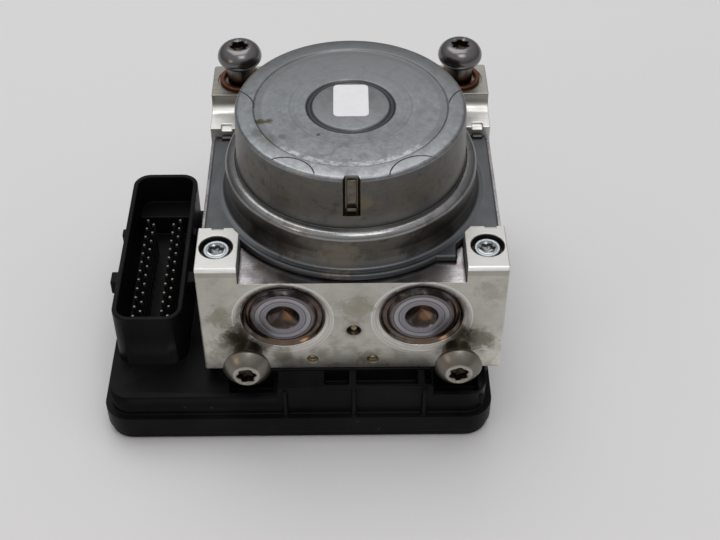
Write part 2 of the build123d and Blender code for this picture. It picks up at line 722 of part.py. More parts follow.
# ================================================================ pump and accumulators
for side, hand in ((-1, "left"), (1, "right")):
    along = Plane(origin=(0, 0, pump_height), x_dir=(1, 0, 0), z_dir=(0, 0, 1))
    pump_axis = Axis((0, 0, pump_height), (1, 0, 0))
    piston_end = stroke_clear + pump_piston_length

    with BuildPart() as pump_piston:
        with BuildSketch(along):
            with BuildLine():
                Polyline((side * stroke_clear, 0), (side * stroke_clear, pump_piston_radius),
                         (side * (piston_end - pump_collar_length), pump_piston_radius),
                         (side * (piston_end - pump_collar_length), pump_collar_radius),
                         (side * piston_end, pump_collar_radius), (side * piston_end, 0), close=True)
            make_face()
        revolve(axis=pump_axis)
    pump_piston.part.label = f"pump_piston_{hand}"
    export_step(pump_piston.part, f"parts/pump_piston_{hand}.step")

    room_start = piston_end - pump_collar_length - running_gap
    with BuildPart() as pump_sleeve:
        with BuildSketch(along):
            with BuildLine():
                Polyline((side * sleeve_start, pump_piston_radius + running_gap),
                         (side * sleeve_start, pump_bore - press_gap),
                         (side * sleeve_end, pump_bore - press_gap),
                         (side * sleeve_end, sleeve_room_radius), (side * room_start, sleeve_room_radius),
                         (side * room_start, pump_piston_radius + running_gap), close=True)
            make_face()
        revolve(axis=pump_axis)
    pump_sleeve.part.label = f"pump_sleeve_{hand}"
    export_step(pump_sleeve.part, f"parts/pump_sleeve_{hand}.step")

    plug_end = half_width - pump_plug_recess
    with BuildPart() as pump_plug:
        with BuildSketch(along):
            with BuildLine():
                Polyline((side * sleeve_end, 0), (side * sleeve_end, pump_bore - press_gap),
                         (side * (plug_end - pump_plug_edge), pump_bore - press_gap),
                         (side * plug_end, pump_bore - pump_plug_edge - press_gap),
                         (side * plug_end, pump_plug_dimple), (side * (plug_end - pump_plug_dimple), 0),
                         close=True)
            make_face()
        revolve(axis=pump_axis)
    pump_plug.part.label = f"pump_plug_{hand}"
    export_step(pump_plug.part, f"parts/pump_plug_{hand}.step")

    pump_spring = coil_spring((side * piston_end, 0, pump_height), (side, 0, 0), sleeve_end - piston_end,
                              pump_spring_radius, pump_spring_wire, pump_spring_turns)
    pump_spring.label = f"pump_spring_{hand}"
    export_step(pump_spring, f"parts/pump_spring_{hand}.step")

    cap_x, cap_z = side * accumulator_place[0], accumulator_place[1]
    cap_axis = Axis((cap_x, 0, cap_z), (0, 1, 0))
    groove_inner, groove_outer = cap_disc_radius, cap_radius - cap_lip
    with BuildPart() as accumulator_cap:
        with BuildSketch(outward(cap_x, cap_z)):
            with BuildLine():
                Polyline((0, cap_dimple_depth - block_front),
                         (cap_dimple_radius, cap_sink - block_front),
                         (groove_inner, cap_sink - block_front),
                         (groove_inner, cap_groove_depth - block_front),
                         (groove_outer, cap_groove_depth - block_front),
                         (groove_outer, spot_ring_depth - block_front),
                         (cap_radius, spot_ring_depth - block_front), (cap_radius, -cap_seat),
                         (cap_boss_radius, -cap_seat), (cap_boss_radius, cap_boss_length - cap_seat),
                         (0, cap_boss_length - cap_seat), close=True)
            make_face()
        revolve(axis=cap_axis)
    accumulator_cap.part.label = f"accumulator_cap_{hand}"
    export_step(accumulator_cap.part, f"parts/accumulator_cap_{hand}.step")

    crown = -accumulator_end - running_gap
    mouth = crown - accumulator_piston_length
    groove_from = crown - ring_groove_from_end
    with BuildPart() as accumulator_piston:
        with BuildSketch(outward(cap_x, cap_z)):
            with BuildLine():
                Polyline((0, crown), (accumulator_radius - running_gap, crown),
                         (accumulator_radius - running_gap, groove_from), (ring_groove_floor, groove_from),
                         (ring_groove_floor, groove_from - ring_groove_width),
                         (accumulator_radius - running_gap, groove_from - ring_groove_width),
                         (accumulator_radius - running_gap, mouth), (piston_cup_radius, mouth),
                         (piston_cup_radius, mouth + piston_cup_depth), (0, mouth + piston_cup_depth),
                         close=True)
            make_face()
        revolve(axis=cap_axis)
    accumulator_piston.part.label = f"accumulator_piston_{hand}"
    export_step(accumulator_piston.part, f"parts/accumulator_piston_{hand}.step")

    with BuildPart() as accumulator_ring:
        with BuildSketch(outward(cap_x, cap_z)):
            with Locations(((ring_groove_floor + accumulator_radius - running_gap) / 2,
                            groove_from - ring_groove_width / 2)):
                Rectangle(accumulator_radius - running_gap - ring_groove_floor,
                          ring_groove_width - running_gap)
        revolve(axis=cap_axis)
    accumulator_ring.part.label = f"accumulator_seal_{hand}"
    export_step(accumulator_ring.part, f"parts/accumulator_seal_{hand}.step")

    accumulator_spring = coil_spring(
        (cap_x, mouth + piston_cup_depth, cap_z), (0, -1, 0), cap_seat + mouth + piston_cup_depth,
        accumulator_spring_radius, accumulator_spring_wire, accumulator_spring_turns)
    accumulator_spring.label = f"accumulator_spring_{hand}"
    export_step(accumulator_spring, f"parts/accumulator_spring_{hand}.step")

# ================================================================ valves
for kind, row, groove in (("inlet", inlet_valve_row, inlet_groove),
                          ("outlet", outlet_valve_row, outlet_groove)):
    with BuildPart() as valve_bodies:
        for column in valve_columns:
            with BuildSketch(upright(column, row)):
                with BuildLine():
                    Polyline((0, dome_end), (dome_radius, dome_end), (dome_radius, seat_top),
                             (valve_radius - press_gap, seat_top),
                             (valve_radius - press_gap, groove - valve_groove_width / 2),
                             (valve_radius - valve_groove_depth, groove - valve_groove_width / 2),
                             (valve_radius - valve_groove_depth, groove + valve_groove_width / 2),
                             (valve_radius - press_gap, groove + valve_groove_width / 2),
                             (valve_radius - press_gap, valve_body_top), (0, valve_body_top),
                             (0, needle_room), (needle_radius + running_gap, needle_room),
                             (needle_radius + running_gap, plunger_room_top),
                             (dome_radius - dome_wall, plunger_room_top),
                             (dome_radius - dome_wall, dome_end + dome_cap), (0, dome_end + dome_cap),
                             close=True)
                make_face()
            revolve(axis=Axis((column, row, 0), (0, 0, 1)))
    valve_bodies.part.label = f"{kind}_valve_bodies"
    export_step(valve_bodies.part, f"parts/{kind}_valve_bodies.step")

# Inlet valves rest open at the bottom of their travel, outlet valves rest shut at the top.
plunger_low = dome_end + dome_cap + plunger_end_gap
plunger_length = plunger_room_top - plunger_end_gap - plunger_travel - plunger_low
for number, column in enumerate(valve_columns, start=1):
    for kind, row, foot in (("inlet", inlet_valve_row, plunger_low),
                            ("outlet", outlet_valve_row, plunger_low + plunger_travel)):
        with BuildPart() as plunger:
            with BuildSketch(Plane.XY.offset(foot)):
                with Locations((column, row)):
                    Circle(dome_radius - dome_wall - running_gap)
            extrude(amount=plunger_length)
            with BuildSketch(Plane.XY.offset(foot + plunger_length)):
                with Locations((column, row)):
                    Circle(needle_radius)
            extrude(amount=needle_length)
        plunger.part.label = f"{kind}_plunger_{number}"
        export_step(plunger.part, f"parts/{kind}_plunger_{number}.step")

# solenoid coils round the valve domes, each on two leads from the board
with BuildPart() as valve_coils:
    for row in (inlet_valve_row, outlet_valve_row):
        for column in valve_columns:
            with BuildSketch(upright(column, row)):
                with BuildLine():
                    Polyline((dome_radius + coil_gap, coil_bottom), (coil_radius, coil_bottom),
                             (coil_radius, coil_bottom + coil_flange),
                             (coil_radius - coil_waist, coil_bottom + coil_flange),
                             (coil_radius - coil_waist, coil_bottom + coil_height - coil_flange),
                             (coil_radius, coil_bottom + coil_height - coil_flange),
                             (coil_radius, coil_bottom + coil_height),
                             (dome_radius + coil_gap, coil_bottom + coil_height), close=True)
                make_face()
            revolve(axis=Axis((column, row, 0), (0, 0, 1)))
            with BuildSketch(Plane.XY.offset(board_top)):
                with Locations((column - coil_lead_spread, row), (column + coil_lead_spread, row)):
                    Rectangle(*coil_lead)
            extrude(amount=coil_bottom - board_top)
valve_coils.part.label = "valve_coils"
export_step(valve_coils.part, "parts/valve_coils.step")

# ================================================================ control unit
pin_points = [(column, pin_rows_from + pin_pitch * (row + (max(pin_counts) - count) / 2))
              for column, count in zip(pin_column_places, pin_counts) for row in range(count)]
socket_middle = (-(socket_left + socket_right) / 2, (socket_back - socket_front) / 2)
socket_size = (socket_left - socket_right, socket_front + socket_back)
cavity_inset = wall_inset + unit_wall
cavity_size = (unit_size[0] - 2 * cavity_inset, unit_size[1] - 2 * cavity_inset)
wall_front = unit_front - wall_inset
deck_bottom = deck_top - deck_thickness

with BuildPart() as ecu_housing:
    # lip, wall and the seat under the hydraulic block
    with BuildSketch(Plane.XY.offset(cover_thickness)):
        with Locations(unit_middle):
            RectangleRounded(*unit_size, unit_corner)
    extrude(amount=lip_top - cover_thickness)
    with BuildSketch(Plane.XY.offset(lip_top)):
        with Locations(unit_middle):
            RectangleRounded(unit_size[0] - 2 * wall_inset, unit_size[1] - 2 * wall_inset,
                             unit_corner - wall_inset)
    extrude(amount=deck_top - lip_top)
    with BuildSketch(Plane.XY.offset(deck_top)):
        with Locations(((seat_right - seat_left) / 2, (unit_back - wall_inset - seat_front) / 2)):
            RectangleRounded(seat_left + seat_right, seat_front + unit_back - wall_inset, seat_corner)
    extrude(amount=seat_top - deck_top)
    # raised front wall with a rib at each end of its slots
    with BuildSketch(Plane.XY.offset(deck_top)):
        with Locations((sum(front_wall_reach) / 2, -wall_front)):
            Rectangle(front_wall_reach[1] - front_wall_reach[0], wall_front - seat_front + seat_corner,
                      align=(Align.CENTER, Align.MIN))
    extrude(amount=front_wall_top - deck_top)
    with BuildSketch(Plane.XY.offset(lip_top)):
        for place in front_rib_places:
            with Locations((place, -wall_front)):
                Rectangle(front_rib_width, 2 * (wall_inset - front_rib_step))
    extrude(amount=front_wall_top - lip_top)
    # plug socket
    with BuildSketch(Plane.XY.offset(deck_top)):
        with Locations(socket_middle):
            RectangleRounded(*socket_size, socket_corner)
    extrude(amount=socket_top - deck_top)
    with BuildSketch(Plane.XY.offset(socket_top - guide_height)):
        for place, reach, width in guide_places:
            with Locations((socket_middle[0], place)):
                Rectangle(socket_size[0] + 2 * reach, width)
    extrude(amount=guide_height - guide_drop)
    # hollow under the deck
    with BuildSketch(Plane.XY.offset(cover_thickness)):
        with Locations(unit_middle):
            RectangleRounded(*cavity_size, unit_corner - cavity_inset)
    extrude(amount=deck_bottom - cover_thickness, mode=Mode.SUBTRACT)
    with BuildSketch(Plane.XY.offset(deck_bottom)):
        with Locations(window_middle):
            Rectangle(*coil_window)
    extrude(amount=seat_top - deck_bottom, mode=Mode.SUBTRACT)
    # standoffs for the board, bosses for the screws, floors of the bolt pockets
    with BuildSketch(Plane.XY.offset(board_top)):
        with Locations(*standoff_places):
            Circle(standoff_radius)
    extrude(amount=deck_bottom - board_top)
    with BuildSketch(Plane.XY.offset(seat_top - screw_grip - deck_thickness)):
        with Locations(*[(side * screw_place[0], screw_place[1]) for side in (-1, 1)]):
            Circle(screw_boss_radius)
    extrude(amount=screw_grip + deck_thickness)
    for start, end in bolt_pocket_spans:
        with BuildSketch(Plane.XY.offset(bolt_pocket_floor - front_wall_thickness)):
            with Locations(((start + end) / 2, -wall_front + unit_wall / 2)):
                Rectangle(end - start + 2 * front_wall_thickness,
                          wall_front - seat_front + front_wall_thickness - unit_wall / 2,
                          align=(Align.CENTER, Align.MIN))
        extrude(amount=deck_bottom - bolt_pocket_floor + front_wall_thickness)
    with BuildSketch(Plane.XY.offset(bolt_pocket_floor)):
        for start, end in bolt_pocket_spans:
            with Locations(((start + end) / 2, -wall_front + front_wall_thickness)):
                Rectangle(end - start, wall_front - seat_front - front_wall_thickness,
                          align=(Align.CENTER, Align.MIN))
    extrude(amount=front_wall_top - bolt_pocket_floor, mode=Mode.SUBTRACT)
    with BuildSketch(Plane.XY.offset(front_wall_top - slot_depth)):
        for start, end in slot_spans:
            with Locations(((start + end) / 2, -wall_front + front_wall_thickness)):
                Rectangle(end - start, wall_front - seat_front - front_wall_thickness,
                          align=(Align.CENTER, Align.MIN))
    extrude(amount=slot_depth, mode=Mode.SUBTRACT)
    # screw holes and gasket groove
    with BuildSketch(Plane.XY.offset(seat_top - screw_grip)):
        with Locations(*[(side * screw_place[0], screw_place[1]) for side in (-1, 1)]):
            Circle(screw_radius + thread_gap)
    extrude(amount=screw_grip, mode=Mode.SUBTRACT)
    with BuildSketch(Plane.XY.offset(seat_top - gasket_thickness)):
        with Locations(window_middle):
            Rectangle(*[length + 2 * (gasket_margin + gasket_width) for length in coil_window])
            Rectangle(*[length + 2 * gasket_margin for length in coil_window], mode=Mode.SUBTRACT)
    extrude(amount=gasket_thickness, mode=Mode.SUBTRACT)
    # well of the plug socket, its key step and the holes of its pins
    with BuildSketch(Plane.XY.offset(socket_floor)):
        with Locations(socket_middle):
            RectangleRounded(*[length - 2 * socket_wall for length in socket_size],
                             socket_corner - socket_wall)
    extrude(amount=socket_top - socket_floor, mode=Mode.SUBTRACT)
    with BuildSketch(Plane.XY.offset(socket_floor)):
        with Locations((socket_middle[0], socket_back - socket_wall / 2)):
            Rectangle(socket_size[0] - socket_wall, socket_key_depth + socket_wall / 2,
                      align=(Align.CENTER, Align.MAX))
        with Locations((socket_middle[0], (socket_back - socket_front) / 2)):
            RectangleRounded(*[length - socket_wall for length in socket_size], socket_corner,
                             mode=Mode.INTERSECT)
    extrude(amount=socket_key_top - socket_floor)
    with BuildSketch(Plane.XY.offset(deck_bottom)):
        with Locations(*pin_points):
            Rectangle(pin_width, pin_width)
    extrude(amount=socket_floor - deck_bottom, mode=Mode.SUBTRACT)
ecu_housing.part.label = "ecu_housing"
export_step(ecu_housing.part, "parts/ecu_housing.step")

with BuildPart() as ecu_cover:
    with BuildSketch(Plane.XY):
        with Locations(unit_middle):
            RectangleRounded(unit_size[0] - 2 * cover_inset, unit_size[1] - 2 * cover_inset,
                             unit_corner - cover_inset)
    extrude(amount=cover_thickness)
    underside = ecu_cover.faces().sort_by(Axis.Z)[0]
    chamfer(underside.edges(), cover_chamfer)
    with BuildSketch(Plane.XY.offset(cover_thickness)):
        with Locations(unit_middle):
            RectangleRounded(*[length - 2 * press_gap for length in cavity_size],
                             unit_corner - cavity_inset)
            RectangleRounded(*[length - 2 * cover_tongue_width for length in cavity_size],
                             unit_corner - cavity_inset, mode=Mode.SUBTRACT)
    extrude(amount=cover_tongue)
ecu_cover.part.label = "ecu_cover"
export_step(ecu_cover.part, "parts/ecu_cover.step")

with BuildPart() as ecu_gasket:
    with BuildSketch(Plane.XY.offset(seat_top - gasket_thickness)):
        with Locations(window_middle):
            Rectangle(*[length + 2 * (gasket_margin + gasket_width) for length in coil_window])
            Rectangle(*[length + 2 * gasket_margin for length in coil_window], mode=Mode.SUBTRACT)
    extrude(amount=gasket_thickness)
ecu_gasket.part.label = "ecu_gasket"
export_step(ecu_gasket.part, "parts/ecu_gasket.step")

with BuildPart() as circuit_board:
    with BuildSketch(Plane.XY.offset(board_bottom)):
        with Locations(((board_right - board_left) / 2, (board_back - board_front) / 2)):
            RectangleRounded(board_left + board_right, board_front + board_back, board_corner)
    extrude(amount=board_thickness)
circuit_board.part.label = "circuit_board"
export_step(circuit_board.part, "parts/circuit_board.step")

with BuildPart() as board_components:
    with Locations((*controller_place, board_top)):
        Box(*controller_size, align=(Align.CENTER, Align.CENTER, Align.MIN))
    with Locations(*[(*place, board_top) for place in driver_places]):
        Box(*driver_size, align=(Align.CENTER, Align.CENTER, Align.MIN))
    with Locations(*[(capacitor_column, row, board_top) for row in capacitor_rows]):
        Cylinder(capacitor_radius, capacitor_height, align=(Align.CENTER, Align.CENTER, Align.MIN))
board_components.part.label = "board_components"
export_step(board_components.part, "parts/board_components.step")

with BuildPart() as connector_pins:
    with BuildSketch(Plane.XY.offset(board_top)):
        with Locations(*pin_points):
            Rectangle(pin_width, pin_width)
    extrude(amount=pin_top - board_top)
    tips = connector_pins.faces().filter_by(lambda face: face.center().Z > pin_top - 0.01).edges()
    chamfer(tips, pin_width / 4)
connector_pins.part.label = "connector_pins"
export_step(connector_pins.part, "parts/connector_pins.step")

# ================================================================ fasteners and plugs
def bulged(start, end):
    """Arc between two points that bulges away from the bolt's axis."""
    along = Vector(*end) - Vector(*start)
    middle = (Vector(*start) + Vector(*end)) / 2 + Vector(along.Y, -along.X) * bolt_bulge
    return ThreePointArc(start, (middle.X, middle.Y), end)


def button_bolt(length, dome):
    """Mounting bolt with a button head, standing on the block's face at z 0."""
    ring = length - dome
    with BuildPart() as bolt:
        with BuildSketch(upright(0, 0)):
            with BuildLine():
                Polyline((0, length), (0, -bolt_depth + 1), (bolt_radius - thread_gap, -bolt_depth + 1),
                         (bolt_radius - thread_gap, 0), (bolt_neck_radius, 0),
                         (bolt_neck_radius, ring - bolt_bowl))
                bulged((bolt_neck_radius, ring - bolt_bowl), (bolt_head_radius, ring))
                bulged((bolt_head_radius, ring), (bolt_flat_radius, length))
                Line((bolt_flat_radius, length), (0, length))
            make_face()
        revolve(axis=Axis.Z)
        with BuildSketch(Plane.XY.offset(length)):
            Polygon(*star(recess_radius, recess_radius * star_waist))
        extrude(amount=-recess_depth, mode=Mode.SUBTRACT)
    return bolt.part


with BuildPart() as mounting_bolts:
    front_bolt = button_bolt(front_bolt_length, front_bolt_dome)
    back_bolt = button_bolt(back_bolt_length, back_bolt_dome)
    for side in (-1, 1):
        with Locations((side * back_bolt_place[0], back_bolt_place[1], bar_top - spot_face_depth)):
            add(back_bolt)
        with Locations(Location((side * front_bolt_place[0], -block_front, front_bolt_place[1]),
                                (90, 0, 0))):
            add(front_bolt)
mounting_bolts.part.label = "mounting_bolts"
export_step(mounting_bolts.part, "parts/mounting_bolts.step")

with BuildPart() as bolt_collars:
    with BuildSketch(Plane.XY.offset(bar_top - spot_face_depth)):
        with Locations(*[(side * back_bolt_place[0], back_bolt_place[1]) for side in (-1, 1)]):
            Circle(collar_radius)
            Circle(collar_bore, mode=Mode.SUBTRACT)
    extrude(amount=collar_thickness)
    chamfer(bolt_collars.faces().sort_by(Axis.Z)[-2:].edges(), collar_thickness / 4)
bolt_collars.part.label = "bolt_collars"
export_step(bolt_collars.part, "parts/bolt_collars.step")

head_seat = pad_top - screw_counterbore_depth
with BuildPart() as module_screws:
    for side in (-1, 1):
        with BuildSketch(upright(side * screw_place[0], screw_place[1])):
            with BuildLine():
                Polyline((0, seat_top - screw_grip + 1), (screw_radius, seat_top - screw_grip + 1),
                         (screw_radius, head_seat), (screw_head_radius, head_seat),
                         (screw_head_radius, head_seat + screw_head_height - screw_head_edge),
                         (screw_head_radius - screw_head_edge, head_seat + screw_head_height),
                         (0, head_seat + screw_head_height), close=True)
            make_face()
        revolve(axis=Axis((side * screw_place[0], screw_place[1], 0), (0, 0, 1)))
        with BuildSketch(Plane.XY.offset(head_seat + screw_head_height)):
            with Locations((side * screw_place[0], screw_place[1])):
                Polygon(*star(screw_recess_radius, screw_recess_radius * star_waist))
        extrude(amount=-screw_recess_depth, mode=Mode.SUBTRACT)
module_screws.part.label = "module_screws"
export_step(module_screws.part, "parts/module_screws.step")

# balls and a stepped plug staked into the front drillings
with BuildPart() as drilling_plugs:
    for place in ball_plug_places:
        with Locations((place[0], ball_plug_radius + plug_sink - block_front, place[1])):
            Sphere(ball_plug_radius - press_gap)
    with BuildSketch(Plane.XZ.offset(block_front - plug_sink)):
        with Locations(middle_plug_place):
            Circle(middle_plug_radius - press_gap)
    extrude(amount=-2 * ball_plug_radius)
    with BuildSketch(Plane.XZ.offset(block_front - plug_sink)):
        with Locations(middle_plug_place):
            Circle(middle_plug_radius / 2)
    extrude(amount=-middle_plug_radius / 2, mode=Mode.SUBTRACT)
drilling_plugs.part.label = "drilling_plugs"
export_step(drilling_plugs.part, "parts/drilling_plugs.step")
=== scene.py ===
"""Looks of an anti-lock brake module: pump motor, valve block and control unit."""
import json
import math

import bmesh
import bpy
from bpy.props import FloatProperty, FloatVectorProperty, IntProperty, PointerProperty
from mathutils import Matrix, Vector
from mathutils.bvhtree import BVHTree


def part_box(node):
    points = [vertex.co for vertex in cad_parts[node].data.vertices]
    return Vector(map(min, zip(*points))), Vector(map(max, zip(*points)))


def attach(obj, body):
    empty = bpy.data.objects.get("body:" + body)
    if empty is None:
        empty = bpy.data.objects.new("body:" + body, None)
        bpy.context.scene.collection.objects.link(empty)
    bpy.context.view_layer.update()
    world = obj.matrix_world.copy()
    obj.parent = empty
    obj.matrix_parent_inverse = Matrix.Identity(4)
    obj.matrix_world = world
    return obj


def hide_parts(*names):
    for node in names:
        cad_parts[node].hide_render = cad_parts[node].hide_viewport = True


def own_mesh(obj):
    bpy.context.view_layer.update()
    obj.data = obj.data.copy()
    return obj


bl_info = {
    "name": "Brake module looks",
    "version": (1, 0, 0),
    "blender": (4, 5, 0),
    "location": "3D View > Sidebar > Brake module",
    "description": "Dresses the frame of an anti-lock brake module in metal, plastic and rubber",
    "category": "Object",
}

MM = 0.001
ROOT = "module"
LOBES = 6                   # of a driver's recess
SHARP = 32.0                # degrees past which an edge is sharp
FLAT = math.radians(0.6)    # angle under which two faces are one
CAMERA = (-0.0010, -0.3010, 0.3113)
CAMERA_TURN = (90 - 43.88, -0.02, -0.70)    # degrees
LENS = 63.106
HORIZON = 0.42              # share of the surrounding light that comes from low down
PROUD = 0.05                # room that the scribed lines need above the can
# places in millimetres that several pieces share
FRONT = -43.2               # front face of the block
RECESS = (57.93, 58.4)      # heights between which the floor under the motor lies
PAD_TOP = 63.4
PAD_BACK = -24.9
CAP = (20.5, 43.3)          # across and up to an accumulator
SCREW = (39.3, -33.2)       # across and along to a module screw
FRONT_BOLT = (31.5, 29.5)   # across and up to a front bolt
BACK_BOLT = (35.7, 42.4)    # across and along to a back bolt
BACK_SEAT = 68.2            # height that the back bolts' collars lie on
STAKES = (-39.8, 40.8)      # across to the two staking notches
MIDDLE_PLUG = (0.4, 38.3)   # across and up to the plug between the accumulators
TOP = 89.2                  # height for stains on the can's top
SIDES = (-1, 1)

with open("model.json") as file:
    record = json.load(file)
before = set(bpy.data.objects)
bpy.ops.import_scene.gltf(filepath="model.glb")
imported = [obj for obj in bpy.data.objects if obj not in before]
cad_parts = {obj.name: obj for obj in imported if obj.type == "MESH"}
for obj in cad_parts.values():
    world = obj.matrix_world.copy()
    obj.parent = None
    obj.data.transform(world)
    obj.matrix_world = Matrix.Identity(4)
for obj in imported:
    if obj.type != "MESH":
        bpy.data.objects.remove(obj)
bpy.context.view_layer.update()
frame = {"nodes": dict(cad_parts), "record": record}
finish_names = {}           # material of each slot of the frame's record


def tone(red, green, blue):
    """Scene colour of a display colour given from 0 to 255."""
    return tuple(((c / 255 + 0.055) / 1.055) ** 2.4 if c > 10 else c / 255 / 12.92
                 for c in (red, green, blue))


# ---------------------------------------------------------------- settings
def length(name, description, millimetres):
    return FloatProperty(name=name, description=description, default=millimetres * MM,
                         min=0.0, unit="LENGTH", precision=5)


def colour(name, description, value):
    return FloatVectorProperty(name=name, description=description, default=value,
                               subtype="COLOR", size=3, min=0.0, max=1.0)


class CanSizes(bpy.types.PropertyGroup):
    """Sizes of the motor can and its flange."""
    skirt_foot: length("Skirt foot", "Radius of the wide skirt where it leaves the flange", 39.2)
    skirt: length("Skirt", "Radius of the wide skirt under its shoulder", 38.2)
    bead_round: length("Bead round", "Radius of the rounded shoulder", 2.2)
    bead_top: length("Bead top", "Height of the rounded shoulder", 71.75)
    upper_foot: length("Upper foot", "Radius of the upper wall at the shoulder", 34.7)
    upper: length("Upper wall", "Radius of the upper wall at the rim", 34.1)
    rim_round: length("Rim round", "Rounding of the rim", 1.15)
    step: length("Step", "Radius of the step in the top", 28.4)
    step_depth: length("Step depth", "Depth of the step in the top", 0.45)
    boss: length("Boss", "Radius of the round boss in the middle", 11.5)
    boss_groove: length("Boss groove", "Outer radius of the groove round the boss", 13.3)
    groove_depth: length("Groove depth", "Depth of the groove round the boss", 0.55)
    plate: length("Flange radius", "Radius of the flange", 42.4)
    plate_side: length("Flange side", "Reach of the flange's side plates", 44.0)
    plate_thickness: length("Flange thickness", "Thickness of the flange", 2.0)
    notch_width: length("Notch width", "Width of the notch in the front of the wall", 5.0)
    notch_foot: length("Notch foot", "Height at which the notch ends", 76.1)


class MarkSizes(bpy.types.PropertyGroup):
    """Sizes of the bare label and of the scribed arcs on the can."""
    label_width: length("Label width", "Width of the bare label", 10.4)
    label_length: length("Label length", "Length of the bare label", 15.6)
    label_corner: length("Label corner", "Corner radius of the label", 1.5)
    label_thickness: length("Label thickness", "Thickness of the label", 0.12)
    arc_width: length("Arc width", "Width of a scribed line", 0.36)


class BlockSizes(bpy.types.PropertyGroup):
    """Sizes of the finer shapes of the valve block."""
    edge_round: length("Edge round", "Rounding of the block's edges", 0.28)
    stake_width: length("Stake width", "Width of the staking notches in the ledge", 3.4)
    stake_depth: length("Stake depth", "Depth of the staking notches", 2.4)
    punch_width: length("Punch width", "Width of the marks punched in the pads", 3.4)
    punch_depth: length("Punch depth", "Depth of the marks punched in the pads", 0.9)
    thread_pitch: length("Thread pitch", "Pitch of the ports' threads", 1.0)
    thread_depth: length("Thread depth", "Depth of the ports' threads", 0.55)


class FastenerSizes(bpy.types.PropertyGroup):
    """Sizes of the bolts, screws, collars and plugs."""
    bolt_head: length("Bolt head", "Radius of a mounting bolt's button head", 7.1)
    bolt_neck: length("Bolt neck", "Radius of a mounting bolt's neck", 4.4)
    bolt_recess: length("Bolt recess", "Outer radius of a bolt's driver recess", 2.95)
    collar: length("Collar", "Radius of the collars under the back bolts", 7.0)
    screw_head: length("Screw head", "Radius of a module screw's head", 3.9)
    screw_recess: length("Screw recess", "Outer radius of a screw's driver recess", 2.25)


class UnitSizes(bpy.types.PropertyGroup):
    """Sizes of the control unit's finer shapes and of its contacts."""
    edge_round: length("Edge round", "Rounding of the housing's edges", 0.45)
    cover_round: length("Cover round", "Rounding of the cover's edges", 0.4)
    pin_width: length("Contact width", "Width of a contact", 0.95)
    pin_taper: length("Contact taper", "Length of a contact's pointed end", 0.6)
    pin_pitch: length("Contact pitch", "Distance between contacts in a column", 4.0)


class Finishes(bpy.types.PropertyGroup):
    """Main colours of the finishes."""
    can: colour("Can", "Drawn steel of the motor can", (0.262, 0.275, 0.285))
    # the walls' brown colour is partly painted shade, darker than the top for the dark surroundings the
    # walls face
    can_wall_and_shade: colour("Can wall", "Burnished steel of the can's walls", (0.080, 0.072, 0.062))
    flange: colour("Flange", "Steel of the can's flange", (0.090, 0.093, 0.098))
    block: colour("Block", "Machined aluminium", (0.70, 0.69, 0.66))
    recess: colour("Recess", "Polished floor under the motor", (0.36, 0.345, 0.35))
    cap: colour("Caps", "Turned steel of the accumulator caps", (0.34, 0.33, 0.36))
    cap_groove: colour("Cap grooves", "Browned steel in the caps' grooves", (0.105, 0.076, 0.062))
    bolt: colour("Bolts", "Gunmetal of the mounting bolts", (0.150, 0.140, 0.142))
    front_bolt: colour("Front bolts", "Worn steel of the front bolts", (0.22, 0.203, 0.175))
    screw: colour("Screws", "Zinc of the module screws", (0.36, 0.385, 0.39))
    copper: colour("Collars", "Rusty copper of the bolts' collars", (0.15, 0.066, 0.035))
    brass: colour("Plugs", "Brass of the small plugs", (0.46, 0.38, 0.25))
    plastic: colour("Housing", "Black plastic of the housing", tone(9, 9, 10))
    cover: colour("Cover", "Brown-black plastic of the cover", tone(12, 10, 9))
    label: colour("Label", "White of the bare label", tone(222, 221, 222))


class StageSettings(bpy.types.PropertyGroup):
    """Floor, lamps and background."""
    floor: colour("Floor", "Pale colour of the floor", tone(215, 214, 214))
    surround: colour("Surround", "Light that comes from all round", (0.62, 0.62, 0.63))
    floor_width: length("Floor width", "Width of the floor", 4000.0)
    lamp: FloatProperty(name="Lamp", description="Power of the large overhead lamp", default=6.0,
                        min=0.0, unit="POWER")
    fill: FloatProperty(name="Fill", description="Power of the large lamp in front", default=2.1,
                        min=0.0, unit="POWER")
    glow: FloatProperty(name="Glow", description="Power of the small warm lamp in front", default=0.7,
                        min=0.0, unit="POWER")
    turned_steps: IntProperty(name="Turned steps", description="Facets round a turned piece",
                              default=180, min=24)


# ---------------------------------------------------------------- node tools
def link(tree, socket, value):
    """Give an input a value, or the output that is to feed it."""
    if isinstance(value, bpy.types.NodeSocket):
        tree.links.new(value, socket)
    elif isinstance(value, tuple) and socket.type == "RGBA" and len(value) == 3:
        socket.default_value = (*value, 1.0)
    else:
        socket.default_value = value


def add(tree, kind, inputs=None, **settings):
    """New node in a tree, its settings made and its inputs fed by name or number."""
    made = tree.nodes.new(kind)
    for key, value in settings.items():
        setattr(made, key, value)
    for key, value in (inputs or {}).items():
        link(tree, made.inputs[key], value)
    return made


def maths(tree, operation, *values, clamp=False):
    made = add(tree, "ShaderNodeMath", dict(enumerate(values)), operation=operation, use_clamp=clamp)
    return made.outputs[0]


def vector_maths(tree, operation, *values):
    made = add(tree, "ShaderNodeVectorMath", dict(enumerate(values)), operation=operation)
    return made.outputs["Value" if operation in {"LENGTH", "DISTANCE", "DOT_PRODUCT"} else "Vector"]


def ramp(tree, value, low, high, to_low=0.0, to_high=1.0):
    made = add(tree, "ShaderNodeMapRange", {"Value": value, "From Min": low, "From Max": high,
                                            "To Min": to_low, "To Max": to_high})
    made.interpolation_type = "SMOOTHSTEP"
    return made.outputs["Result"]


def blended(tree, factor, first, second):
    return add(tree, "ShaderNodeMix", {0: factor, 6: first, 7: second}, data_type="RGBA").outputs[2]


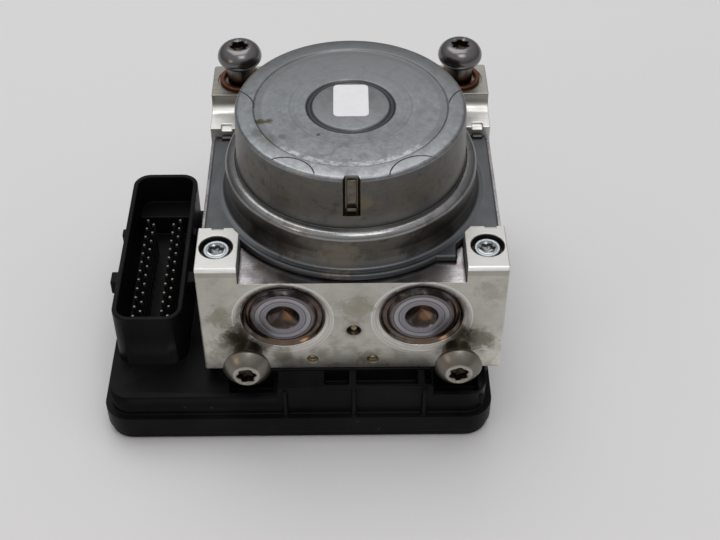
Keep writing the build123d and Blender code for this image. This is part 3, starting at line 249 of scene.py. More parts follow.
def new_group(name, outputs, kind="Shader", **inputs):
    """Node group with its sockets: the vector or geometry it works on, then numbers and triples."""
    tree = bpy.data.node_groups.new(name, kind + "NodeTree")
    main = {"Shader": "Vector", "Geometry": "Geometry"}[kind]
    for label, default in {main: None, **inputs}.items():
        socket = main if default is None else "Vector" if isinstance(default, tuple) else "Float"
        made = tree.interface.new_socket(label, in_out="INPUT", socket_type="NodeSocket" + socket)
        if default is not None:
            made.default_value = default
    for label in outputs:
        tree.interface.new_socket(label, in_out="OUTPUT", socket_type="NodeSocket" + (
            label if label == main else "Float"))
    return tree, tree.nodes.new("NodeGroupInput").outputs, tree.nodes.new("NodeGroupOutput").inputs


def noise(tree, vector, scale, detail=3.0, roughness=0.55, distortion=0.0):
    made = add(tree, "ShaderNodeTexNoise", {"Vector": vector, "Scale": scale, "Detail": detail,
                                            "Roughness": roughness, "Distortion": distortion})
    return made.outputs["Fac"]


def mottle_group():
    """Soft uneven patches."""
    tree, source, out = new_group("mottle", ("Mask",), Size=4.0, Sharpness=2.0, Balance=0.5)
    scale = maths(tree, "DIVIDE", 1000.0, source["Size"])
    value = noise(tree, source["Vector"], scale, 5.0, 0.6, 0.3)
    reach = maths(tree, "DIVIDE", 0.5, source["Sharpness"])
    low = maths(tree, "SUBTRACT", source["Balance"], reach)
    high = maths(tree, "ADD", source["Balance"], reach)
    link(tree, out["Mask"], ramp(tree, value, low, high))


def streak_group():
    """Fine lines left by a tool, drawn out along one direction."""
    tree, source, out = new_group("tool_lines", ("Mask", "Height"), Stretch=(1.0, 1.0, 1.0), Size=0.5)
    drawn = vector_maths(tree, "MULTIPLY", source["Vector"], source["Stretch"])
    scale = maths(tree, "DIVIDE", 1000.0, source["Size"])
    value = noise(tree, drawn, scale, 4.0, 0.7)
    link(tree, out["Mask"], ramp(tree, value, 0.3, 0.7))
    link(tree, out["Height"], value)


def ring_group():
    """Concentric lines of turning round the local Z axis."""
    tree, source, out = new_group("turning_rings", ("Mask", "Height", "Radius"), Spacing=0.6, Waver=0.15)
    flat = vector_maths(tree, "MULTIPLY", source["Vector"], (1000.0, 1000.0, 0.0))
    radius = vector_maths(tree, "LENGTH", flat)
    waver = noise(tree, source["Vector"], 60.0, 2.0)
    moved = maths(tree, "MULTIPLY_ADD", waver, source["Waver"], radius)
    along = maths(tree, "DIVIDE", moved, source["Spacing"])
    wave = maths(tree, "SINE", maths(tree, "MULTIPLY", along, math.tau))
    wave = maths(tree, "MULTIPLY_ADD", wave, 0.5, 0.5)
    uneven = add(tree, "ShaderNodeTexNoise", {"W": along, "Scale": 0.7, "Detail": 2.0},
                 noise_dimensions="1D").outputs["Fac"]
    link(tree, out["Height"], maths(tree, "MULTIPLY", wave, uneven))
    link(tree, out["Mask"], ramp(tree, uneven, 0.35, 0.65))
    link(tree, out["Radius"], radius)


def spot_group():
    """One ragged spot round a point, for a stain, a painted shade or a painted highlight; the centre and
    radius are in millimetres.
    """
    tree, source, out = new_group("ragged_spot", ("Mask",), Centre=(0.0, 0.0, 0.0), Radius=5.0, Ragged=0.5,
                                  Size=2.0)
    place = vector_maths(tree, "MULTIPLY", source["Vector"], (1000.0, 1000.0, 1000.0))
    distance = vector_maths(tree, "DISTANCE", place, source["Centre"])
    away = maths(tree, "DIVIDE", distance, source["Radius"])
    scale = maths(tree, "DIVIDE", 1000.0, source["Size"])
    value = noise(tree, source["Vector"], scale, 4.0, 0.65, 0.6)
    edge = maths(tree, "MULTIPLY_ADD", maths(tree, "SUBTRACT", value, 0.5),
                 maths(tree, "MULTIPLY", source["Ragged"], 3.0), away)
    link(tree, out["Mask"], ramp(tree, edge, 1.0, 0.35))


def speck_group():
    """Sparse small specks of dirt."""
    tree, source, out = new_group("specks", ("Mask",), Size=2.0, Amount=0.2)
    scale = maths(tree, "DIVIDE", 1000.0, source["Size"])
    cells = add(tree, "ShaderNodeTexVoronoi", {"Vector": source["Vector"], "Scale": scale})
    keep = noise(tree, source["Vector"], maths(tree, "MULTIPLY", scale, 0.35), 2.0)
    near = ramp(tree, cells.outputs["Distance"], maths(tree, "MULTIPLY", source["Amount"], 0.9), 0.02)
    link(tree, out["Mask"], maths(tree, "MULTIPLY", near, ramp(tree, keep, 0.55, 0.62)))


def band_group():
    """Part of the surface between two heights, in millimetres."""
    tree, source, out = new_group("band", ("Mask",), Height=0.0, Low=0.0, High=1.0, Soft=0.05)
    up = ramp(tree, source["Height"], maths(tree, "SUBTRACT", source["Low"], source["Soft"]), source["Low"])
    down = ramp(tree, source["Height"], source["High"], maths(tree, "ADD", source["High"], source["Soft"]),
                1.0, 0.0)
    link(tree, out["Mask"], maths(tree, "MULTIPLY", up, down))


def grain_group():
    """Fine grain of a moulded plastic or a cast face."""
    tree, source, out = new_group("grain", ("Height", "Mask"), Size=0.25)
    scale = maths(tree, "DIVIDE", 1000.0, source["Size"])
    value = noise(tree, source["Vector"], scale, 2.0, 0.5)
    link(tree, out["Height"], value)
    link(tree, out["Mask"], ramp(tree, noise(tree, source["Vector"], 55.0, 4.0, 0.6), 0.35, 0.7))


class Finish:
    """A material under construction: colour, roughness and height gain one layer at a time."""

    def __init__(self, name, base, metallic=0.0, roughness=0.4, specular=0.5):
        self.material = bpy.data.materials.new(name)
        self.material.use_nodes = True
        self.tree = self.material.node_tree
        self.shader = self.tree.nodes["Principled BSDF"]
        self.shader.inputs["Metallic"].default_value = metallic
        self.shader.inputs["Specular IOR Level"].default_value = specular
        self.vector = add(self.tree, "ShaderNodeTexCoord").outputs["Object"]
        self.colour = tuple(base)
        self.rough = roughness
        self.height = None
        self.axes = add(self.tree, "ShaderNodeSeparateXYZ",
                        {0: vector_maths(self.tree, "MULTIPLY", self.vector, (1000.0,) * 3)}).outputs

    def group(self, name, **inputs):
        """Place a shared effect; its vector is the piece's own unless one is given."""
        made = self.tree.nodes.new("ShaderNodeGroup")
        made.node_tree = bpy.data.node_groups[name]
        if "Vector" in made.inputs:
            inputs.setdefault("Vector", self.vector)
        for key, value in inputs.items():
            link(self.tree, made.inputs[key], value)
        return made.outputs

    def mottle(self, size, sharpness, balance=0.5):
        return self.group("mottle", Size=size, Sharpness=sharpness, Balance=balance)["Mask"]

    def band(self, height, low, high, soft):
        return self.group("band", Height=height, Low=low, High=high, Soft=soft)["Mask"]

    def ragged_spot(self, centre, radius, ragged, size):
        return self.group("ragged_spot", Centre=centre, Radius=radius, Ragged=ragged, Size=size)["Mask"]

    def specks(self, size, amount):
        return self.group("specks", Size=size, Amount=amount)["Mask"]

    def fade(self, value, start, end):
        """Mask that comes in smoothly as a value goes from start to end."""
        return ramp(self.tree, value, start, end)

    def times(self, *values):
        result = values[0]
        for value in values[1:]:
            result = maths(self.tree, "MULTIPLY", result, value)
        return result

    def tint(self, mask, shade, amount):
        """Move the colour towards a shade where the mask is."""
        self.colour = blended(self.tree, self.times(mask, amount), self.colour, tuple(shade))

    def wear(self, mask, roughness, amount=1.0):
        """Move the roughness towards a value where the mask is."""
        made = add(self.tree, "ShaderNodeMix", {0: self.times(mask, amount), 2: self.rough,
                                                3: roughness}, data_type="FLOAT")
        self.rough = made.outputs[0]

    def lift(self, height, depth):
        """Add a height pattern; depth is in millimetres."""
        scaled = maths(self.tree, "MULTIPLY", height, depth * MM)
        self.height = scaled if self.height is None else maths(self.tree, "ADD", self.height, scaled)

    def made(self):
        """Join the layers to the shader."""
        link(self.tree, self.shader.inputs["Base Color"], self.colour)
        link(self.tree, self.shader.inputs["Roughness"], self.rough)
        if self.height is not None:
            bump = add(self.tree, "ShaderNodeBump", {"Height": self.height, "Distance": 1.0,
                                                     "Strength": 1.0})
            link(self.tree, self.shader.inputs["Normal"], bump.outputs["Normal"])
        return self.material

    def turned_about(self, x, y, z, along="Z"):
        """Pattern space centred on a point in millimetres, its Z axis along Z or Y."""
        turn = {"Z": (0.0, 0.0, 0.0), "Y": (math.pi / 2, 0.0, 0.0)}[along]
        offset = vector_maths(self.tree, "SUBTRACT", self.vector, (x * MM, y * MM, z * MM))
        return add(self.tree, "ShaderNodeVectorRotate", {"Vector": offset, "Rotation": turn},
                   rotation_type="EULER_XYZ").outputs["Vector"]


# ---------------------------------------------------------------- finishes
def can_finish(colours):
    f = Finish("drawn_can_steel", colours.can, metallic=1.0, roughness=0.36)
    x, y, z = f.axes
    wall = f.band(z, 60.9, 88.3, 0.4)
    foot = f.fade(z, 60.9, 60.4)
    patches = f.mottle(9.0, 2.2)
    f.tint(patches, (0.222, 0.236, 0.247), 0.8)
    # the walls' brown colour is partly painted shade, darker than the top for the dark surroundings the
    # walls face
    f.tint(wall, colours.can_wall_and_shade, 0.95)
    f.tint(foot, colours.flange, 0.95)
    # painted shade: the flange is darker towards the front
    f.tint(f.times(foot, f.fade(y, -24.0, -34.0)), (0.052, 0.055, 0.060), 0.5)
    f.tint(f.times(wall, f.mottle(5.0, 4.0, 0.55)), (0.115, 0.098, 0.074), 0.65)
    f.tint(f.times(wall, f.mottle(3.0, 5.0, 0.62)), (0.03, 0.028, 0.028), 0.7)
    drawn = f.group("tool_lines", Stretch=(0.25, 0.25, 3.0), Size=1.2)
    f.tint(f.times(wall, drawn["Mask"]), (0.15, 0.14, 0.125), 0.3)
    rings = f.group("turning_rings", Spacing=0.8, Waver=0.3)
    near_rings = f.times(rings["Mask"], f.fade(rings["Radius"], 41.4, 40.6))
    f.tint(near_rings, (0.20, 0.213, 0.225), 0.35)
    f.tint(f.times(foot, f.fade(rings["Radius"], 40.5, 41.5), patches), (0.062, 0.067, 0.068), 0.7)
    for radius, amount in ((18.0, 0.35), (16.6, 0.18)):
        line = f.band(rings["Radius"], radius, radius + 0.25, 0.2)
        f.tint(line, (0.10, 0.105, 0.11), amount)
    groove = f.band(rings["Radius"], 11.8, 13.0, 0.35)
    top = f.fade(z, 87.9, 88.3)
    # painted shade and painted highlight: the top is darker towards the back and lighter towards the front
    f.tint(f.times(top, f.fade(y, -8.0, 30.0)), (0.145, 0.151, 0.154), 0.85)
    f.tint(f.times(top, f.fade(y, -13.0, -27.0)), (0.34, 0.35, 0.362), 0.7)
    f.tint(f.times(top, f.fade(rings["Radius"], 11.9, 11.5)), (0.15, 0.154, 0.156), 0.5)
    # mottle of wear, which also breaks up the painted highlight on the step
    wear_and_glint = f.mottle(1.5, 3.0)
    f.tint(f.times(top, wear_and_glint), (0.155, 0.16, 0.162), 0.45)
    smudged = f.mottle(3.6, 5.0, 0.58)
    f.tint(f.times(top, smudged), (0.135, 0.14, 0.14), 0.45)
    # painted shade along the step in the top, and a painted highlight at its front
    step = f.times(top, f.band(rings["Radius"], 26.7, 27.9, 0.7))
    f.tint(step, (0.13, 0.135, 0.14), 0.45)
    f.tint(f.times(step, wear_and_glint, f.fade(y, -15.0, -23.0)), (0.62, 0.63, 0.64), 0.8)
    # painted shade in the groove round the boss
    f.tint(f.times(groove, top), (0.035, 0.036, 0.04), 0.8)
    for centre, radius, shade, amount in (
            ((-26.2, -7.6, TOP), 2.0, (0.055, 0.045, 0.014), 0.9),
            ((-23.8, -7.2, TOP), 1.6, (0.055, 0.045, 0.014), 0.8),
            ((-27.2, -13.8, TOP), 3.2, (0.10, 0.10, 0.10), 0.7),
            ((-23.5, -16.4, TOP), 3.4, (0.13, 0.125, 0.115), 0.6),
            ((-19.4, -14.6, TOP), 1.9, (0.12, 0.115, 0.10), 0.7),
            ((-9.3, -13.8, TOP), 0.9, (0.05, 0.045, 0.04), 0.8),
            ((3.0, -34.0, 81.0), 3.5, (0.17, 0.15, 0.09), 0.6),
            ((-19.0, -34.0, 64.5), 6.0, (0.05, 0.045, 0.04), 0.8),
            ((17.0, -34.5, 64.0), 5.0, (0.04, 0.04, 0.04), 0.8),
            ((-4.0, -38.6, 64.0), 8.0, (0.20, 0.175, 0.14), 0.6)):
        f.tint(f.ragged_spot(centre, radius, 0.55, 2.4), shade, amount)
    # painted light: the notch is lightened against the shade that falls in it
    notch = f.times(f.fade(y, -30.8, -31.6), f.band(x, -2.6, 2.6, 0.1), f.band(z, 75.4, 88.6, 0.6))
    f.tint(notch, (0.17, 0.155, 0.125), 0.8)
    f.tint(f.times(notch, wear_and_glint), (0.09, 0.072, 0.048), 0.7)
    f.tint(f.specks(5.0, 0.12), (0.06, 0.055, 0.05), 0.8)
    f.wear(patches, 0.44)
    f.wear(f.times(top, wear_and_glint), 0.27, 0.7)
    f.wear(wall, 0.33, 0.8)
    bead = f.band(z, 69.9, 71.9, 0.5)
    bead = f.times(bead, f.fade(rings["Radius"], 34.85, 35.1))
    f.tint(bead, (0.155, 0.155, 0.158), 0.9)
    # painted highlight on the front of the bead
    f.tint(f.times(bead, f.fade(y, -14.0, -30.0)), (0.34, 0.34, 0.335), 0.8)
    f.tint(f.times(bead, smudged), (0.10, 0.095, 0.085), 0.5)
    f.wear(bead, 0.20, 0.9)
    f.lift(rings["Height"], 0.004)
    f.lift(f.group("grain", Size=0.35)["Height"], 0.006)
    f.lift(f.times(wall, drawn["Height"]), 0.03)
    return f.made()


def block_finish(colours):
    f = Finish("machined_block_aluminium", colours.block, metallic=1.0, roughness=0.34)
    x, y, z = f.axes
    front = f.fade(y, -42.5, -42.9)
    floor = f.times(f.band(z, *RECESS, 0.02),
                    f.fade(y, -43.17, -43.0), f.fade(y, 30.0, 29.0),
                    f.fade(x, -44.97, -44.85), f.fade(x, 44.97, 44.85))
    lines = f.group("tool_lines", Stretch=(0.12, 1.0, 1.0), Size=0.7)
    patches = f.mottle(7.0, 2.6)
    f.tint(patches, (0.60, 0.59, 0.56), 0.8)
    bar = f.times(f.fade(z, 64.2, 66.0), f.fade(y, 20.0, 25.0))
    f.tint(bar, (0.30, 0.288, 0.258), 0.9)
    # painted shade: the bar is darker towards its left end
    f.tint(f.times(bar, f.fade(x, -30.0, -36.0)), (0.20, 0.185, 0.16), 0.6)
    f.tint(f.times(f.fade(y, 22.0, 23.0), f.fade(y, 31.5, 30.5)), (0.84, 0.835, 0.82), 0.7)
    pads = f.times(f.fade(z, 62.6, 63.0), f.fade(y, -24.0, -24.8))
    f.tint(pads, (0.53, 0.525, 0.505), 0.9)
    f.tint(front, (0.51, 0.495, 0.435), 0.9)
    # painted light: the front is lighter towards the bottom, against the dark reflection of the unit below
    f.tint(f.times(front, f.fade(z, 44.0, 26.0)), (0.97, 0.94, 0.84), 0.85)
    f.tint(f.times(front, f.mottle(4.0, 3.5, 0.56)), (0.40, 0.385, 0.33), 0.7)
    f.tint(f.times(front, f.mottle(12.0, 3.0, 0.5)), (0.70, 0.69, 0.65), 0.5)
    # painted highlight along the chamfer at the top of the front
    chamfer_highlight = f.times(f.fade(y, -42.0, -42.3), f.fade(z, 62.2, 62.5))
    f.tint(chamfer_highlight, (0.88, 0.87, 0.85), 0.95)
    # painted shadow in a band under the chamfer
    f.tint(f.times(front, f.band(z, 60.9, 62.1, 0.5)), (0.33, 0.30, 0.24), 0.5)
    f.tint(lines["Mask"], (0.46, 0.45, 0.41), 0.3)
    f.tint(floor, colours.recess, 0.95)
    f.tint(f.times(floor, f.mottle(6.0, 4.0, 0.54)), (0.17, 0.155, 0.165), 0.75)
    f.tint(f.times(floor, f.mottle(3.5, 6.0, 0.64)), (0.36, 0.20, 0.12), 0.55)
    # painted shade in the counterbores of the screws
    for side in SIDES:
        bore = f.group("turning_rings", Vector=f.turned_about(side * SCREW[0], SCREW[1], 0.0))["Radius"]
        f.tint(f.times(f.fade(bore, 5.05, 4.95), f.fade(z, 63.3, 63.0)), (0.05, 0.048, 0.045), 0.85)
    # rings turned round the accumulators
    for side in SIDES:
        around = f.group("turning_rings", Vector=f.turned_about(side * CAP[0], 0.0, CAP[1], "Y"),
                         Spacing=0.35, Waver=0.05)
        ring = f.band(around["Radius"], 12.2, 14.72, 0.06)
        ring = f.times(ring, f.fade(y, -41.5, -42.0))
        f.tint(ring, (0.72, 0.70, 0.66), 0.9)
        f.tint(f.times(ring, around["Mask"]), (0.46, 0.44, 0.40), 0.5)
        f.wear(ring, 0.2, 0.8)
        f.lift(f.times(ring, around["Height"]), 0.02)
        # painted highlight round the outer edge of each ring
        edge = f.times(front, f.band(around["Radius"], 14.75, 15.05, 0.12))
        f.tint(edge, (0.95, 0.94, 0.92), 0.55)
    for x0, z0, radius, ragged, size, shade, amount in (
            (-33.2, 36.6, 6.2, 0.6, 3.0, (0.085, 0.07, 0.045), 0.85),
            (-27.0, 33.0, 5.0, 0.7, 3.0, (0.1, 0.085, 0.055), 0.7),
            (-21.0, 27.5, 4.2, 0.7, 3.0, (0.2, 0.17, 0.11), 0.6),
            (30.4, 36.8, 5.6, 0.6, 3.0, (0.1, 0.08, 0.05), 0.8),
            (37.5, 34.0, 6.4, 0.7, 3.0, (0.12, 0.1, 0.06), 0.7),
            (-36.0, 34.0, 5.0, 0.8, 3.0, (0.11, 0.09, 0.06), 0.7),
            (-39.5, 44.0, 5.5, 0.9, 3.0, (0.25, 0.225, 0.16), 0.55),
            (1.0, 47.5, 6.5, 0.9, 3.0, (0.27, 0.24, 0.17), 0.45),
            (4.6, 26.5, 4.0, 0.7, 3.0, (0.22, 0.19, 0.12), 0.5),
            (40.0, 53.5, 6.0, 0.8, 3.0, (0.34, 0.32, 0.26), 0.5),
            (-38.0, 30.0, 5.0, 0.8, 3.0, (0.3, 0.28, 0.21), 0.5),
            (*MIDDLE_PLUG, 4.2, 0.25, 1.5, (0.2, 0.18, 0.13), 0.5),
            # painted shade: near-black round the middle plug for the shade in its hole
            (*MIDDLE_PLUG, 2.9, 0.12, 1.5, (0.022, 0.018, 0.014), 0.95)):
        f.tint(f.ragged_spot((x0, FRONT, z0), radius, ragged, size), shade, amount)
    for side in SIDES:
        f.tint(f.ragged_spot((side * BACK_BOLT[0], BACK_BOLT[1], 68.4), 8.6, 0.3, 3.0), (0.10, 0.07, 0.05), 0.85)
    f.tint(f.specks(4.0, 0.14), (0.16, 0.14, 0.10), 0.75)
    f.wear(patches, 0.42)
    f.wear(front, 0.46, 0.8)
    f.wear(pads, 0.47, 0.9)
    f.wear(chamfer_highlight, 0.3, 0.9)
    f.wear(floor, 0.16, 0.9)
    f.lift(lines["Height"], 0.02)
    f.lift(f.group("grain", Size=0.3)["Height"], 0.008)
    return f.made()


def cap_finish(colours):
    f = Finish("turned_cap_steel", colours.cap, metallic=1.0, roughness=0.27)
    x, z = f.axes[0], f.axes[2]
    for side in SIDES:
        around = f.group("turning_rings", Vector=f.turned_about(side * CAP[0], 0.0, CAP[1], "Y"),
                         Spacing=0.55, Waver=0.12)
        near = f.fade(f.times(x, float(side)), 0.0, 0.1)
        f.tint(f.times(near, around["Mask"]), (0.23, 0.218, 0.245), 0.7)
        f.tint(f.times(near, f.band(around["Radius"], 7.3, 8.0, 0.35)), (0.46, 0.445, 0.47), 0.6)
        f.tint(f.times(near, f.fade(around["Radius"], 7.9, 9.2)), (0.13, 0.098, 0.09), 0.8)
        groove = f.band(around["Radius"], 9.35, 12.6, 0.25)
        f.tint(f.times(near, groove), colours.cap_groove, 0.95)
        # painted shade at the top of each groove
        f.tint(f.times(near, groove, f.fade(z, 47.0, 52.0)), (0.014, 0.013, 0.013), 0.9)
        # painted warm highlight at the bottom of each groove
        f.tint(f.times(near, groove, f.fade(z, 37.0, 32.5)), (0.17, 0.115, 0.07), 0.6)
        dimple = f.fade(around["Radius"], 5.1, 4.7)
        f.tint(f.times(near, dimple), (0.055, 0.038, 0.028), 0.95)
        # painted highlights in the dimple, orange to the lower right and olive above the middle
        for across, y0, z0, radius, shade in ((1.3, -40.5, 42.0, 2.4, (0.34, 0.17, 0.07)),
                                              (0.0, -41.5, 47.2, 2.6, (0.075, 0.07, 0.025))):
            spot = f.ragged_spot((side * CAP[0] + across, y0, z0), radius, 0.3, 2.0)
            f.tint(f.times(dimple, spot), shade, 0.8)
        for radius, amount in ((6.65, 0.5), (8.3, 0.6)):
            line = f.band(around["Radius"], radius, radius + 0.2, 0.15)
            f.tint(f.times(near, line), (0.08, 0.075, 0.085), amount)
        f.lift(f.times(near, around["Height"]), 0.012)
        f.wear(f.times(near, f.band(around["Radius"], 5.0, 9.3, 0.2)), 0.36, 0.8)
        f.wear(f.times(near, groove), 0.14, 0.8)
    f.tint(f.specks(3.0, 0.16), (0.04, 0.04, 0.045), 0.8)
    f.tint(f.mottle(3.0, 3.0, 0.58), (0.26, 0.245, 0.26), 0.4)
    return f.made()


def bolt_finish(colours):
    f = Finish("mounting_bolt_steel", colours.bolt, metallic=1.0, roughness=0.24)
    y, z = f.axes[1], f.axes[2]
    front = f.fade(y, 0.0, -1.0)
    f.tint(f.mottle(3.0, 2.5), (0.17, 0.165, 0.17), 0.7)
    f.tint(front, colours.front_bolt, 0.85)
    f.tint(f.times(front, f.mottle(3.2, 3.0)), (0.17, 0.15, 0.12), 0.6)
    crown = f.times(front, f.fade(y, -52.9, -53.1))
    f.tint(crown, (0.50, 0.48, 0.44), 0.8)
    f.tint(f.times(front, f.fade(y, -47.5, -45.5)), (0.085, 0.07, 0.05), 0.8)
    low = f.band(z, 67.0, 71.5, 2.5)
    f.tint(f.times(low, f.fade(y, 20.0, 30.0)), (0.10, 0.055, 0.035), 0.8)
    for side in SIDES:
        f.tint(f.ragged_spot((side * 31.9, -51.5, 27.0), 5.5, 0.6, 2.0), (0.24, 0.20, 0.14), 0.5)
    f.tint(f.specks(1.6, 0.2), (0.10, 0.08, 0.06), 0.6)
    f.wear(front, 0.36, 0.8)
    f.lift(f.group("grain", Size=0.3)["Height"], 0.012)
    return f.made()


def recess_finish(name, base, shade):
    """Steel inside the drivers' recesses, darker than the heads as painted shade."""
    f = Finish(name, base, metallic=1.0, roughness=0.42)
    f.tint(f.mottle(1.4, 3.0), shade, 0.7)
    return f.made()


def plain_metal(name, base, shade, roughness, size, lines=(1.0, 1.0, 1.0), depth=0.01, dirt=None):
    """Metal with patches of a second shade, tool lines and sparse dirt."""
    f = Finish(name, base, metallic=1.0, roughness=roughness)
    f.tint(f.mottle(size, 2.4), shade, 0.75)
    drawn = f.group("tool_lines", Stretch=lines, Size=0.6)
    f.tint(drawn["Mask"], shade, 0.3)
    if dirt is not None:
        f.tint(f.specks(size, 0.2), dirt, 0.7)
        f.tint(f.mottle(size * 0.6, 5.0, 0.62), dirt, 0.5)
    f.wear(drawn["Mask"], roughness + 0.12, 0.6)
    f.lift(drawn["Height"], depth)
    return f.made()


def moulded(name, base, shade, roughness=0.5, grain=0.3, depth=0.02, specular=0.35, dust=None):
    """Moulded plastic or rubber with a fine grain."""
    f = Finish(name, base, roughness=roughness, specular=specular)
    texture = f.group("grain", Size=grain)
    f.tint(texture["Mask"], shade, 0.8)
    f.tint(f.mottle(14.0, 2.0), shade, 0.5)
    if dust is not None:
        f.tint(f.specks(5.0, 0.13), dust, 0.7)
        f.tint(f.mottle(22.0, 3.0, 0.6), dust, 0.06)
    f.wear(texture["Mask"], roughness - 0.1, 0.7)
    f.lift(texture["Height"], depth)
    return f.made()


def slot_finishes(colours):
    """One finish for each material slot of the frame's record."""
    return {
        "block_aluminium": block_finish(colours),
        "can_steel": can_finish(colours),
        "cap_steel": cap_finish(colours),
        "bolt_steel": bolt_finish(colours),
        "rubber": moulded("seal_rubber", (0.012, 0.012, 0.013), (0.02, 0.02, 0.021), 0.6, 0.2, 0.01),
        "ferrite": moulded("magnet_ferrite", (0.035, 0.034, 0.036), (0.05, 0.048, 0.05), 0.45, 0.15, 0.02),
        "bearing_steel": plain_metal("bearing_steel", (0.55, 0.55, 0.56), (0.42, 0.42, 0.44), 0.2, 4.0),
        "turned_steel": plain_metal("turned_steel", (0.48, 0.47, 0.46), (0.36, 0.35, 0.35), 0.28, 2.5,
                                    (0.4, 0.4, 5.0), 0.02),
        "core_steel": plain_metal("core_laminations", (0.33, 0.33, 0.35), (0.22, 0.22, 0.24), 0.42, 3.0,
                                  (0.05, 0.05, 2.0), 0.06),
        "copper": plain_metal("enamelled_copper", (0.52, 0.20, 0.09), (0.34, 0.12, 0.055), 0.3, 2.0,
                              (0.6, 0.6, 2.0), 0.05),
        "inner_plastic": moulded("brush_plate_plastic", (0.16, 0.135, 0.10), (0.20, 0.17, 0.13), 0.5, 0.4),
        "carbon": moulded("brush_carbon", (0.018, 0.018, 0.02), (0.035, 0.035, 0.037), 0.55, 0.2, 0.03),
        "tinned_contact": plain_metal("tinned_contact", (0.20, 0.20, 0.19), (0.14, 0.138, 0.13), 0.36, 1.5,
                                      (2.0, 2.0, 0.4), 0.01),
        "coil_steel": plain_metal("coil_steel", (0.30, 0.29, 0.28), (0.20, 0.19, 0.19), 0.38, 3.0),
        "piston_aluminium": plain_metal("piston_aluminium", (0.72, 0.71, 0.69), (0.60, 0.59, 0.58),
                                        0.3, 3.0, (0.4, 4.0, 0.4), 0.02),
        "black_plastic": moulded("housing_plastic", colours.plastic, tone(20, 20, 21), 0.42, 0.35, 0.012,
                                 0.07, dust=(0.05, 0.045, 0.04)),
        "cover_plastic": moulded("cover_plastic", colours.cover, tone(24, 21, 19), 0.5, 0.3, 0.015, 0.09),
        "board_green": moulded("board_laminate", (0.012, 0.09, 0.035), (0.02, 0.13, 0.05), 0.35, 0.5, 0.01),
        "chip_black": moulded("chip_resin", (0.014, 0.014, 0.015), (0.022, 0.022, 0.023), 0.5, 0.2, 0.01),
        "collar_copper": plain_metal("rusty_collar", colours.copper, (0.13, 0.05, 0.028), 0.4, 1.6,
                                     (0.5, 0.5, 2.0), 0.04, dirt=(0.04, 0.025, 0.02)),
        "zinc_screw": plain_metal("zinc_screw", colours.screw, (0.36, 0.39, 0.41), 0.26, 1.6,
                                  (1.0, 1.0, 1.0), 0.006),
        "plug_brass": plain_metal("plug_brass", colours.brass, (0.26, 0.20, 0.12), 0.25, 1.2,
                                  (1.0, 1.0, 1.0), 0.01, dirt=(0.05, 0.04, 0.03)),
    }


# ---------------------------------------------------------------- mesh tools
def softened(corners, steps=5):
    """Closed outline whose corners (x, y, radius) are rounded."""
    points = []
    for index, (x, y, radius) in enumerate(corners):
        here = Vector((x, y))
        if radius <= 0:
            points.append((x, y))
            continue
        back = (Vector(corners[index - 1][:2]) - here).normalized()
        ahead = (Vector(corners[(index + 1) % len(corners)][:2]) - here).normalized()
        half = back.angle(ahead) / 2
        centre = here + (back + ahead).normalized() * (radius / math.sin(half))
        start = here + back * (radius / math.tan(half)) - centre
        end = here + ahead * (radius / math.tan(half)) - centre
        first = math.atan2(start.y, start.x)
        sweep = math.atan2(start.x * end.y - start.y * end.x, start.dot(end))
        for step in range(steps + 1):
            angle = first + sweep * step / steps
            points.append((centre.x + radius * math.cos(angle), centre.y + radius * math.sin(angle)))
    return points


def turned(section, steps):
    """Mesh of a closed section in millimetres turned about Z.

    A section point is (radius, height), or (radius, height, depth of the driver's lobes).
    """
    bm = bmesh.new()
    rings = []
    for point in section:
        radius, height, depth = (*point, 0.0)[:3]
        ring = []
        for step in range(steps):
            angle = math.tau * step / steps
            reach = (radius - depth * (1 - math.cos(LOBES * angle)) / 2) * MM
            ring.append(bm.verts.new((reach * math.cos(angle), reach * math.sin(angle), height * MM)))
        rings.append(ring)
    for index, (lower, upper) in enumerate(zip(rings, rings[1:] + rings[:1])):
        inside = len(section[index]) > 2 and index > 0 and len(section[index - 1]) > 2
        for step in range(steps):
            after = (step + 1) % steps
            face = bm.faces.new((lower[step], lower[after], upper[after], upper[step]))
            face.material_index = int(inside)
    bmesh.ops.remove_doubles(bm, verts=bm.verts, dist=1e-7)
    bmesh.ops.recalc_face_normals(bm, faces=bm.faces)
    return bm


def prism(outline, bottom, top, holes=()):
    """Closed mesh of a flat outline with holes, raised between two heights in millimetres."""
    bm = bmesh.new()
    for loop in (outline, *holes):
        verts = [bm.verts.new((x * MM, y * MM, top * MM)) for x, y in loop]
        for first, second in zip(verts, verts[1:] + verts[:1]):
            bm.edges.new((first, second))
    bmesh.ops.triangle_fill(bm, use_beauty=True, edges=bm.edges)
    bmesh.ops.dissolve_limit(bm, angle_limit=FLAT, verts=bm.verts, edges=bm.edges)
    raised = bmesh.ops.extrude_face_region(bm, geom=bm.faces[:])
    lowered = [item for item in raised["geom"] if isinstance(item, bmesh.types.BMVert)]
    bmesh.ops.translate(bm, verts=lowered, vec=(0, 0, (bottom - top) * MM))
    bmesh.ops.recalc_face_normals(bm, faces=bm.faces)
    return bm


def brick(low, high):
    """Box between two corners in millimetres."""
    return prism([(low[0], low[1]), (high[0], low[1]), (high[0], high[1]), (low[0], high[1])],
                 low[2], high[2])


def arc(radius, start, end, steps):
    """Points of an arc round the motor's axis, its angles in degrees."""
    angles = [math.radians(start + (end - start) * step / steps) for step in range(steps + 1)]
    return [(radius * math.cos(angle), radius * math.sin(angle)) for angle in angles]


def moved(x, y, z):
    """Placing matrix for a point in millimetres."""
    return Matrix.Translation((x * MM, y * MM, z * MM))


